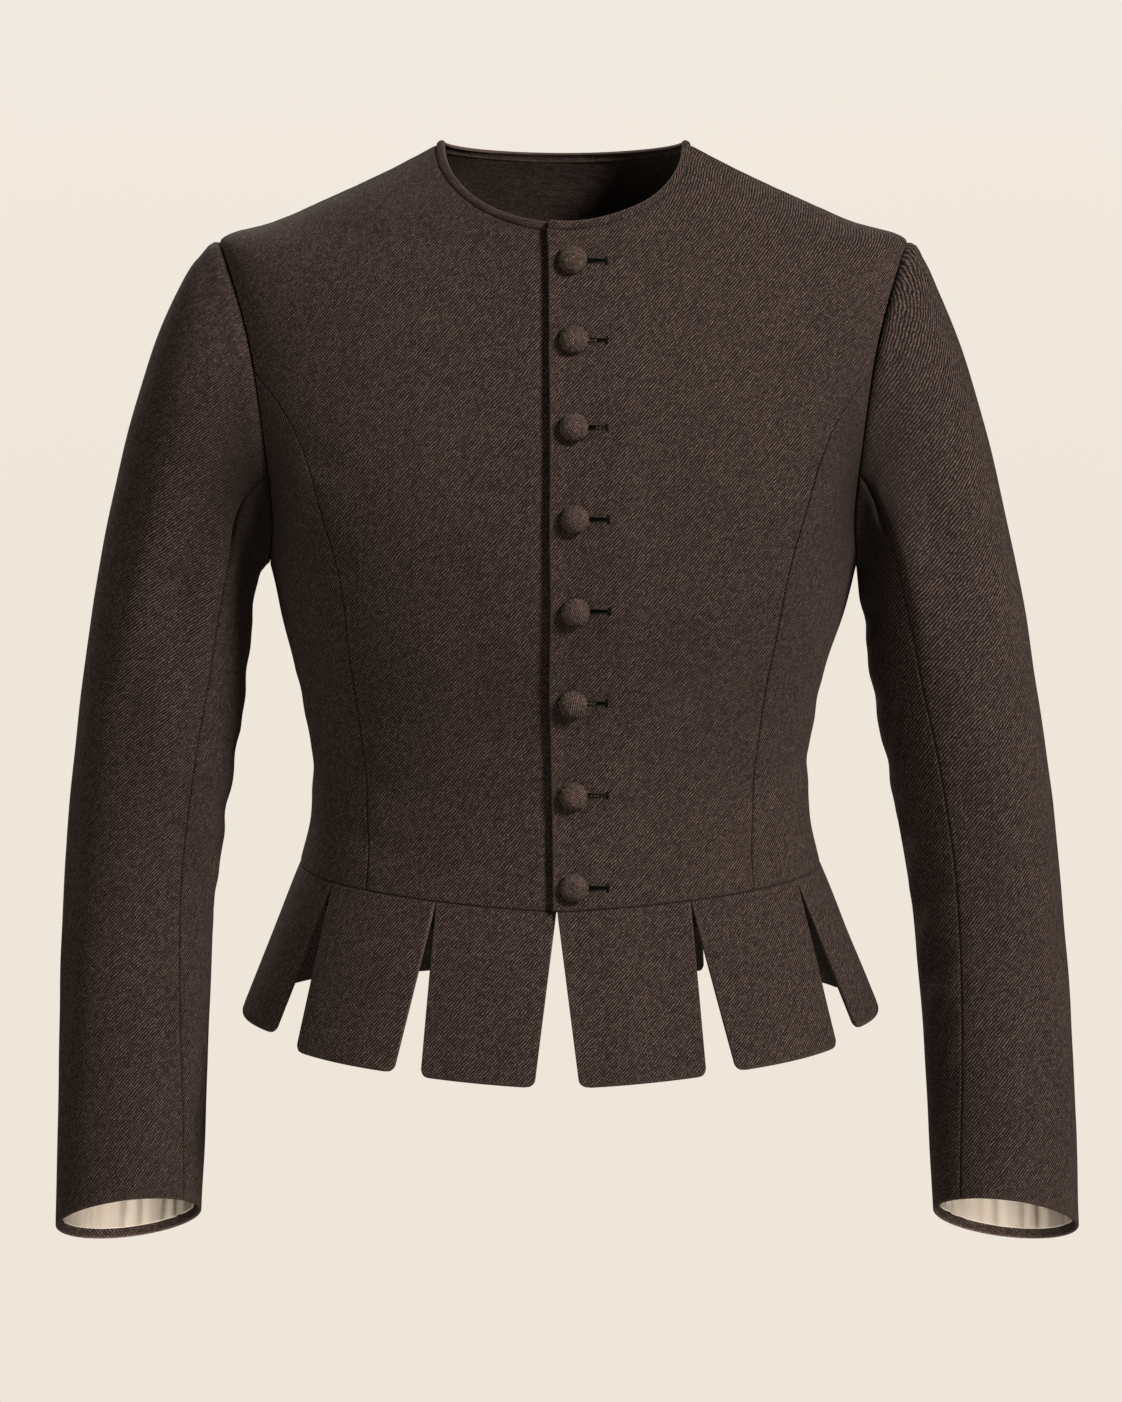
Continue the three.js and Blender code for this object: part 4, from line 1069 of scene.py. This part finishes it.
def skirt_tab(name, tab, start, end, side, lift):
    """One tab, which falls straight from the waist seam, and the stitches over its edge."""
    middle = unit(body_normal((start + end) / 2, 0.0) * np.array([1, 1, 0]))
    around = np.cross([0, 0, 1], middle)
    flare = math.radians(tab["flare"])
    fall = np.array([0, 0, -math.cos(flare)]) + middle * math.sin(flare)
    fall = unit(fall + around * tab["spread"] / tab["length"])
    width = float(norm(body_point(start, 0.0) - body_point(end, 0.0)))
    u = shares_with_edges(width, 3.0)[None, :]
    from_edge = np.minimum(u, 1 - u) * width
    off = np.maximum(TAB_CORNER - from_edge, 0)
    length = tab["length"] - TAB_CORNER + np.sqrt(TAB_CORNER**2 - off**2)
    down = shares_with_edges(tab["length"], 3.0)[:, None] * length
    angle = mix(start, end, u)
    seam, normals = body_point(angle, 0.0), body_normal(angle, 0.0)
    seam = seam + normals * (lift * lap_lift(angle, 0.0))[..., None]
    narrowing = (0.5 - u) * tab["taper"] * down / tab["length"]
    outer = seam + fall * down[..., None] + around * narrowing[..., None]
    along = body_point(angle + 0.6, 0.0) - body_point(angle - 0.6, 0.0)
    ways = -mix(normals, unit(np.cross(fall, along)), smoothstep(down, 0, 5)[..., None])
    bow = 1.9 * np.sin(math.pi * u) * (down / tab["length"]) ** 2
    mirror = mirror_to(side)
    moved = shifted(outer * mirror) * mirror
    edges = edges_of("free", "free", "seam", "free")
    piece, size, face = shell(
        name, moved, ways, TAB_CLOTH, edges, side, -0.5 * bow, WOOL, upward=-1
    )
    dress(piece, name)
    line, out = (
        np.concatenate([grid[8:-7, 6], grid[-7, 6:-6], grid[-8:7:-1, -7]])
        for grid in (face, -(ways * mirror))
    )
    edge_stitches(name.replace("skirt_tab", "edge_stitches"), line, out)


def edge_stitches(name, line, out):
    """Small prick stitches that hold a turned edge."""
    steps = lengths_along(line)
    at = (np.arange(int(steps[-1] / STITCH_PITCH)) + 0.5) * STITCH_PITCH

    def sample(values, where):
        return stacked(*(np.interp(where, steps, values[:, k]) for k in range(3)))

    half = STITCH_LENGTH / 2
    above = sample(out, at)
    starts, ends = sample(line, at - half) - 0.12 * above, sample(line, at + half) - 0.12 * above
    paths = np.stack([starts, sample(line, at) + 0.1 * above, ends], axis=1)
    threads(name, paths, STITCH_THICK, EDGE_THREAD)


def threads(name, paths, thick, material):
    """Many short threads, each a tube along its path with rounded ends, joined in one mesh."""
    turns = (2 * np.pi * np.arange(THREAD_SIDES) / THREAD_SIDES)[:, None]
    points, faces, base = [], [], 0
    for path in map(np.array, paths):
        ahead = unit(np.gradient(path, axis=0))
        across = unit(np.cross(ahead, NOT_ALONG))
        beside = np.cross(ahead, across)
        radius = np.full((len(path), 1, 1), thick / 2)
        radius[[0, -1]] *= THREAD_TAPER
        way = across[:, None] * np.cos(turns) + beside[:, None] * np.sin(turns)
        points.append((path[:, None] + radius * way).reshape(-1, 3))
        faces += ring_faces(len(path), THREAD_SIDES, base)
        base += len(points[-1])
        first, last = base - len(points[-1]), base - THREAD_SIDES
        faces += [list(range(first, first + THREAD_SIDES))[::-1], list(range(last, base))]
    points = np.concatenate(points)
    piece = add_mesh(name, points, faces, points[:, [0, 2]], material)
    dress(piece, None)


def skirt():
    tabs = rows_of(TAB_COLUMNS, TABS)
    for name, side in SIDES.items():
        is_left = side > 0
        start = TAB_START_LEFT if is_left else TAB_START_RIGHT
        angles = tab_angles(start, [tab[f"{name}_edge"] for tab in tabs])
        for i, tab in enumerate(tabs):
            lift = 1.0 if is_left and i == 0 else 0.0
            skirt_tab(f"skirt_tab_{name}_{i + 1}", tab, angles[i], angles[i + 1], side, lift)


# ------------------------------------------------------------------ sleeves


def sleeve_ring(turn, station):
    inward, forward = cosine(turn), sine(turn)
    reach = np.where(forward >= 0, sleeve["front"](station), sleeve["back"](station))
    share = (1 + inward) / 2
    slant = np.tan(np.radians(sleeve["slant"](station)))
    x, z = (mix(sleeve[f"outer_{k}"](station), sleeve[f"inner_{k}"](station), share) for k in "xz")
    y = sleeve["middle_y"](station) - reach * forward
    return stacked(x, y, z + reach * forward * slant)


def fold_depth(turn, station, folds):
    depth = 0
    for fold in rows_of(FOLD_COLUMNS, folds):
        across = np.minimum(np.abs(turn - fold["turn"]) / fold["width"], 1)
        along = np.minimum(np.abs(station - fold["station"]) / fold["length"], 1)
        form = (1 + np.cos(np.pi * across)) * (1 + np.cos(np.pi * along)) / 4
        depth = depth + fold["depth"] * form
    return depth


def sleeve_point(name, turn, station):
    """A sleeve's plain surface, which takes on the armhole's form towards its top."""
    start = body_point(*armhole(turn))
    fade = (np.maximum(1 - station / CAP_STATIONS, 0) ** 2)[..., None]
    point = sleeve_ring(turn, station) + (start - sleeve_ring(turn, 0 * station)) * fade
    point[..., 0] -= SIDES[name] * sleeve["sway"](station)
    return point


def sleeve_normal(name, turn, station):
    low, high = np.maximum(station - 0.06, 0), np.minimum(station + 0.06, CUFF)
    around = sleeve_point(name, turn + 2, station) - sleeve_point(name, turn - 2, station)
    down = sleeve_point(name, turn, high) - sleeve_point(name, turn, low)
    return unit(np.cross(down, around))


def inwards(name, turn, station):
    """The way into a sleeve's cloth, which clears the bodice's edge at the armhole."""
    way = -sleeve_normal(name, turn, station)
    place = armhole(turn)
    foot = body_point(*place)
    along = body_point(*armhole(turn + 2)) - foot
    into = unit(np.cross(body_normal(*place), along))
    hole = body_point(90.0, (ARMPIT + SHOULDER) / 2) - foot
    into = into * np.where(dot(into, hole) < 0, -1, 1)
    turned = unit(way - into * np.minimum(dot(way, into), 0))
    share = smoothstep(station, 0, 0.35)[..., None]
    return unit(mix(turned, way, share))


def seam_turn(which, station, side):
    twist = side * SEAM_TWIST * smoothstep(station, TWIST_NONE, TWIST_ALL)
    return sleeve[which](station) + (twist if which == "front_seam" else -twist)


def sleeve_shape(name, turn, station):
    """A sleeve's points with its long folds, the ways into its cloth, and its creases' depth."""
    turn, station = np.broadcast_arrays(turn, station)
    points = sleeve_point(name, turn, station)
    normals = sleeve_normal(name, turn, station)
    points = points - normals * fold_depth(turn % 360, station, FOLDS[name])[..., None]
    creases = crease_depth(turn, points[..., 2], SLEEVE_CREASES[name], 360, 0.95)
    creases = creases * smoothstep(station, 0.2, 1.2) * (1 - smoothstep(station, CUFF - 0.8, CUFF))
    down = run(points, 0, [0, 1, 2])
    head = np.clip(down / SLEEVE_HEAD_REACH, 0, 1)
    height = -cosine(turn)
    crown = smoothstep(height, -0.85, -0.3) * mix(0.5, 1.0, smoothstep(height, -0.1, 0.75))
    puff = SLEEVE_HEAD * crown * np.sin(np.pi * head**0.55) ** 1.2
    return points, inwards(name, turn, station), creases - puff


def sleeve_stations():
    length = 640
    shares = shares_with_edges(length, 3.6)
    table = np.linspace(0, CUFF, 400)
    points = sleeve_ring(np.full(400, 120.0), table)
    lengths = lengths_along(points)
    return np.interp(shares * lengths[-1], lengths, table)


def sleeves():
    stations = sleeve_stations()[:, None]
    for name, side in SIDES.items():
        front = seam_turn("front_seam", stations, side)
        back_turn = seam_turn("back_seam", stations, side)
        axis = sleeve_point(name, np.arange(0, 360, 10.0)[None, :], stations).mean(axis=1)
        for part, first, last, width in (
            ("top_sleeve", front, back_turn, 245),
            ("under_sleeve", back_turn, front + 360, 120),
        ):
            turn = mix(first, last, shares_with_edges(width)[None, :])
            points, ways, depth = sleeve_shape(name, turn, stations)
            edges = edges_of("seam", "seam", "seam", "free")
            node = f"{part}_{name}"
            piece, size, _ = shell(
                node, points, ways, CLOTH, edges, side, depth, WOOL_SLEEVE, axis=axis
            )
            dress(piece, node)
        sleeve_lining(name, side)


def sleeve_lining(name, side):
    """The cream lining just inside a cuff, creased lengthways, as a tube."""
    ends = sleeve_point(name, np.array([180.0, 180.0]), np.array([CUFF - 1.0, CUFF]))
    pitch = float(norm(ends[1] - ends[0]))
    count = LINING_COLUMNS
    turn = (360 * np.arange(count) / count)[None, :]
    share = shares_with_edges(LINING_DEPTH, 2.6)[:, None]
    station = CUFF - (LINING_HEM + LINING_DEPTH * (1 - share)) / pitch
    turn, station = np.broadcast_arrays(turn, station)
    points = sleeve_point(name, turn, station)
    ways = inwards(name, turn, station)
    creases = crease_depth(turn, points[..., 2], LINING_CREASES[name], 360, 0.75) * LINING_CREASING
    fullness = LINING_FULLNESS * waves(turn, LINING_WAVES)
    calm = smoothstep(share, 1.0, 0.9)
    depth = np.maximum((creases + fullness) * mix(0.75, 1.0, calm), -0.2)
    distance = np.minimum(share, 1 - share) * LINING_DEPTH
    roll = turned_under(distance, LINING_CLOTH / 2, LINING_CLOTH / 2)
    clear = CLOTH + 2 * GAP
    outer = (points + ways * (clear + roll + depth)[..., None]) * mirror_to(side)
    inner = (points + ways * (clear + LINING_CLOTH - roll + depth)[..., None]) * mirror_to(side)
    index, ahead = ring_grid(len(share), count)
    under = index + index.size
    under[0], under[-1] = index[0], index[-1]
    under_ahead = np.roll(under, -1, axis=1)
    faces = faces_of(index[:-1], ahead[:-1], ahead[1:], index[1:])
    faces += faces_of(under[:-1], under[1:], under_ahead[1:], under_ahead[:-1])
    uv = stacked(side * turn * 0.75, station * pitch).reshape(-1, 2)
    points = np.concatenate([outer.reshape(-1, 3), inner.reshape(-1, 3)])
    node = f"sleeve_lining_{name}"
    piece = add_mesh(node, points, faces, np.concatenate([uv, uv]), LINING)
    dress(piece, node)


# ------------------------------------------------------------------ buttons and buttonholes

BUTTON_TURNS = (72, 98, 104, 90, 112, 130, 84, 100)  # how each cover's weave lies
BUTTON_COLUMNS = 68
GATHERS = 17
GATHER_DEPTH = 0.36
BUTTON_LEAN = 0.16  # how uneven each dome is
RIM_ROUND = 1.2
SHANK_PROFILE = [[5.4, 1.1], [4.4, 1.1], [4.1, 0.5], [4.3, 0.05], [0, 0]]  # radius and height
HOLE_START = -2.0  # from the button's middle, towards the wearer's left
HOLE_END = 20.4
SLIT_NEAR = 3.0  # how wide the slit stands open at the button, and at its end
SLIT_FAR = 0.7
SLIT_HIDDEN = 0.25  # how far its painted shadow reaches under each lip
LIP_WIDTH = 1.0
HOLE_STITCH = 0.5
HOLE_UNEVEN = 0.08
BAR_HALF = 2.7
CORD_THICK = 0.55


def front_place(x, z):
    """The point and normal of the left front's face at a place across and up."""
    stations = np.linspace(0, NECK, 900)
    angles = angle_at_x(np.full(900, float(x)), stations)
    points = body_point(angles, stations)
    station = np.interp(z, points[:, 2], stations)
    angle = angle_at_x(x, station)
    normal = body_normal(angle, station)
    point = body_point(angle, station)
    point = point + normal * lap_lift(angle, station)
    return shifted(point), normal


def button_places():
    """The middles of the buttons' seats, in steps down the left front from the edge band."""
    stations = np.linspace(0, float(below_neck(0.0, BINDING_WIDTH)), 1500)[::-1]
    x = mix(BUTTON_X_WAIST, BUTTON_X_TOP, stations / NECK)
    points = body_point(angle_at_x(x, stations), stations)
    lengths = lengths_along(points)
    at = np.cumsum(BUTTON_STEPS)
    return [(np.interp(d, lengths, x), np.interp(d, lengths, points[:, 2])) for d in at]


def button(number, place, out, spin):
    """A domed mould covered in cloth, gathered under its rim, on a short shank."""
    radius = BUTTON_DIAMETER / 2
    base = BUTTON_SHANK + BUTTON_RIM
    lift = np.radians(np.linspace(90, 6, 15))
    dome = stacked(radius * np.cos(lift), base + BUTTON_DOME * np.sin(lift))
    under = np.radians(np.linspace(0, -78, 7))
    rim = stacked(radius - RIM_ROUND + RIM_ROUND * np.cos(under), base - 0.3 + 1.5 * np.sin(under))
    profile = np.concatenate([dome, rim, SHANK_PROFILE])
    lengths = lengths_along(profile)
    turns = 2 * np.pi * np.arange(BUTTON_COLUMNS) / BUTTON_COLUMNS
    first = profile[1:-1]
    gather = smoothstep(lengths[1:-1], radius * 0.8, radius * 1.4)[:, None]
    gather = gather * GATHER_DEPTH * np.sin(GATHERS * turns + 1.7 * np.sin(3 * turns + number))
    lean = BUTTON_LEAN * np.sin(2 * turns + number) * smoothstep(lengths[1:-1], 2, 8)[:, None]
    reach = first[:, :1] + gather
    height = first[:, 1:] + lean * (first[:, 1:] > 1)
    rings = stacked(reach * np.cos(turns), reach * np.sin(turns), height)
    points = np.concatenate([[[0, 0, profile[0, 1]]], rings.reshape(-1, 3), [[0, 0, 0]]])
    cover = lengths[1:-1, None, None] * stacked(np.cos(turns + spin), np.sin(turns + spin))
    run_out = np.concatenate([[[0, 0]], cover.reshape(-1, 2), [[0, 0]]])
    index, ahead = ring_grid(len(first), BUTTON_COLUMNS, 1)
    faces = faces_of(index[:-1], index[1:], ahead[1:], ahead[:-1])
    faces += faces_of(0 * index[0], index[0], ahead[0])
    faces += faces_of(0 * index[0] + len(points) - 1, ahead[-1], index[-1])
    across = unit(np.cross([0, 0, 1], out))
    upward = np.cross(out, across)
    seat = place + out * 0.12
    world = seat + points[:, :1] * across + points[:, 1:2] * upward + points[:, 2:] * out
    name = f"button_{number}"
    piece = add_mesh(name, world, faces, run_out + 40 * number, WOOL_BUTTON_LIT)
    dress(piece, name)


def upward_on(out):
    """The way up along a face whose normal is out."""
    up = unit(np.cross([1, 0, 0], out))
    return up if up[2] > 0 else -up


def spots(point, up, out, *places):
    """The points beside a point of a face, which lie so far up it and so far out from it."""
    return [point + up * high + out * proud for high, proud in places]


def buttonhole(number, x, z):
    """A worked buttonhole: stitches over both lips of a slit of painted shadow, and a bar at its
    end.
    """
    stitches, slit, cords = [], [], ([], [])
    for k, step in enumerate(np.arange(HOLE_START, HOLE_END, HOLE_STITCH)):
        point, out = front_place(x + step, z)
        up = upward_on(out)
        wander = HOLE_UNEVEN * math.sin(2.3 * k + number)
        near = mix(SLIT_NEAR, SLIT_FAR, (step - HOLE_START) / (HOLE_END - HOLE_START)) / 2
        far, half = near + LIP_WIDTH + wander, near + SLIT_HIDDEN
        slit += spots(point, up, out, (-half, 0.1), (-half, 0.2), (half, 0.2), (half, 0.1))
        for way in (1, -1):
            stitches.append(spots(
                point, up * way, out,
                (near, -0.1), (near + 0.15, 0.45), (mix(near, far, 0.6), 0.4), (far, -0.05),
            ))
            cords[way < 0].extend(spots(point, up * way, out, (far - 0.1, 0.3)))
    for k in range(4):
        point, out = front_place(x + HOLE_END + 0.15 + 0.42 * k, z)
        up = upward_on(out)
        half = BAR_HALF + 0.12 * math.sin(3.1 * k + number)
        stitches.append(spots(
            point, up, out,
            (-half, -0.1), (-half * 0.8, 0.4), (0, 0.52), (half * 0.8, 0.4), (half, -0.1),
        ))
    threads(f"buttonhole_{number}", stitches, HOLE_STITCH * 0.95, HOLE_THREAD)
    threads(f"buttonhole_cord_{number}", cords, CORD_THICK, CORD_THREAD)
    # A sheet of painted shadow under the lips, filling the slit.
    points, end = np.array(slit), len(slit)
    faces = ring_faces(end // 4, 4) + [[3, 2, 1, 0], list(range(end - 4, end))]
    piece = add_mesh(f"buttonhole_slit_{number}", points, faces, points[:, [0, 2]], SLIT_PAINTED_SHADOW)
    dress(piece, None)


def fastening():
    for i, (x, z) in enumerate(button_places()):
        place, out = front_place(x, z)
        button(i + 1, place, out, math.radians(BUTTON_TURNS[i]))
        buttonhole(i + 1, x, z)


# ------------------------------------------------------------------ stage, light and camera

CAMERA_PLACE = (-1.6, -2800, 54)
CAMERA_TILT = 81.5  # degrees, where 90 looks level
CAMERA_LENS = 110.6
FLOOR_Z = -1450
BOWL_FLOOR = 5200  # radius
BOWL_ROUND = 1500
BOWL_HEIGHT = 5000
BOWL_SIDES = 96
BACKDROP_HIGH = (0.905, 0.845, 0.765)
BACKDROP_LOW = (0.865, 0.79, 0.705)
WORLD_COLOUR = (1.0, 0.965, 0.92)
WORLD_STRENGTH = 0.06
LIGHT_COLUMNS = ("name", "place", "aim", "size", "energy", "color")  # metres and watts
LIGHTS = [
    ["key", (2500, -2050, 1750), (0, 0, -330), 1.0, 120, (1.0, 0.96, 0.91)],
    ["fill", (-3300, -1700, 450), (0, 0, -400), 2.0, 21, (1.0, 0.94, 0.85)],
    ["from_below", (300, -1900, -1900), (0, 0, -600), 1.6, 7, (1.0, 0.95, 0.88)],
    ["behind", (-900, 2900, 1500), (0, 0, -330), 2.4, 70, (1.0, 0.97, 0.94)],
]
CUFF_LIGHTS = [  # where they stand and aim
    [(-60, -520, -1240), (-287, -14, -737)],
    [(520, -520, -1240), (287, -14, -737)],
]
CUFF_LIGHT = {
    "energy": 34, "color": (1.0, 0.95, 0.89), "spot_size": math.radians(9.5), "spot_blend": 0.7,
    "shadow_soft_size": 0.03,
}


def stage():
    """A pale floor that curves up into a backdrop all round."""
    bend = np.radians(np.linspace(0, 90, 14))[:, None]
    radius = np.concatenate([[[BOWL_FLOOR * 0.5]], BOWL_FLOOR + BOWL_ROUND * np.sin(bend),
                             [[BOWL_FLOOR + BOWL_ROUND]]])
    height = np.concatenate([[[0]], BOWL_ROUND * (1 - np.cos(bend)), [[BOWL_HEIGHT]]])
    turns = 2 * np.pi * np.arange(BOWL_SIDES) / BOWL_SIDES
    rings = stacked(radius * np.cos(turns), radius * np.sin(turns), FLOOR_Z + height + 0 * turns)
    points = np.concatenate([[[0, 0, FLOOR_Z]], rings.reshape(-1, 3)])
    index, ahead = ring_grid(len(radius), BOWL_SIDES, 1)
    faces = faces_of(0 * index[0], index[0], ahead[0])
    faces += faces_of(index[:-1], index[1:], ahead[1:], ahead[:-1])
    mesh = bpy.data.meshes.new("studio")
    mesh.from_pydata((points * MM).tolist(), [], faces)
    mesh.polygons.foreach_set("use_smooth", np.ones(len(mesh.polygons), dtype=bool))
    shader = Shader("pale studio paper")
    place = shader.node("TexCoord").outputs["Object"]
    height = shader.node("SeparateXYZ", {0: place}).outputs[2]
    # The paper glows on its own, and painted shade makes it a little darker towards the floor.
    share = shader.node("MapRange", {
        "Value": height, "From Min": FLOOR_Z * MM, "From Max": 1.2,
    }, interpolation_type="SMOOTHSTEP").outputs[0]
    colour = shader.blend(share, (*BACKDROP_LOW, 1), (*BACKDROP_HIGH, 1))
    surface = shader.node("Emission", {"Color": colour, "Strength": 1.0})
    mesh.materials.append(shader.finish(surface.outputs[0]))
    studio = add_object("studio", mesh)
    studio.visible_diffuse = False
    studio.visible_glossy = False
    studio.visible_shadow = False


def add_light(name, place, aim, kind, energy, color, **form):
    """A light at a place, turned towards its aim and hidden from the camera."""
    lamp = bpy.data.lights.new(name, kind)
    for key, value in {"energy": energy, "color": color, **form}.items():
        setattr(lamp, key, value)
    holder = add_object(name, lamp)
    holder.location = np.array(place) * MM
    way = (np.array(aim) - np.array(place)) * MM
    holder.rotation_euler = Vector(way).to_track_quat("-Z", "Y").to_euler()
    holder.visible_camera = False


def lights():
    for row in rows_of(LIGHT_COLUMNS, LIGHTS):
        add_light(**row, kind="AREA", shape="DISK")
    for place, aim in CUFF_LIGHTS:
        add_light("cuff light", place, aim, "SPOT", **CUFF_LIGHT)
    world = bpy.data.worlds.new("studio air")
    world.use_nodes = True
    background = world.node_tree.nodes["Background"]
    background.inputs[0].default_value = (*WORLD_COLOUR, 1)
    background.inputs[1].default_value = WORLD_STRENGTH
    bpy.context.scene.world = world


def camera():
    data = bpy.data.cameras.new("camera")
    data.lens = CAMERA_LENS
    data.clip_end = 50
    holder = add_object("camera", data)
    holder.location = np.array(CAMERA_PLACE) * MM
    holder.rotation_euler = (math.radians(CAMERA_TILT), 0, 0)
    bpy.context.scene.camera = holder
    bpy.context.scene.view_settings.view_transform = "Standard"


camera()
stage()
lights()
fronts()
back()
side_panels()
neck_binding()
waist_facing()
skirt()
sleeves()
fastening()
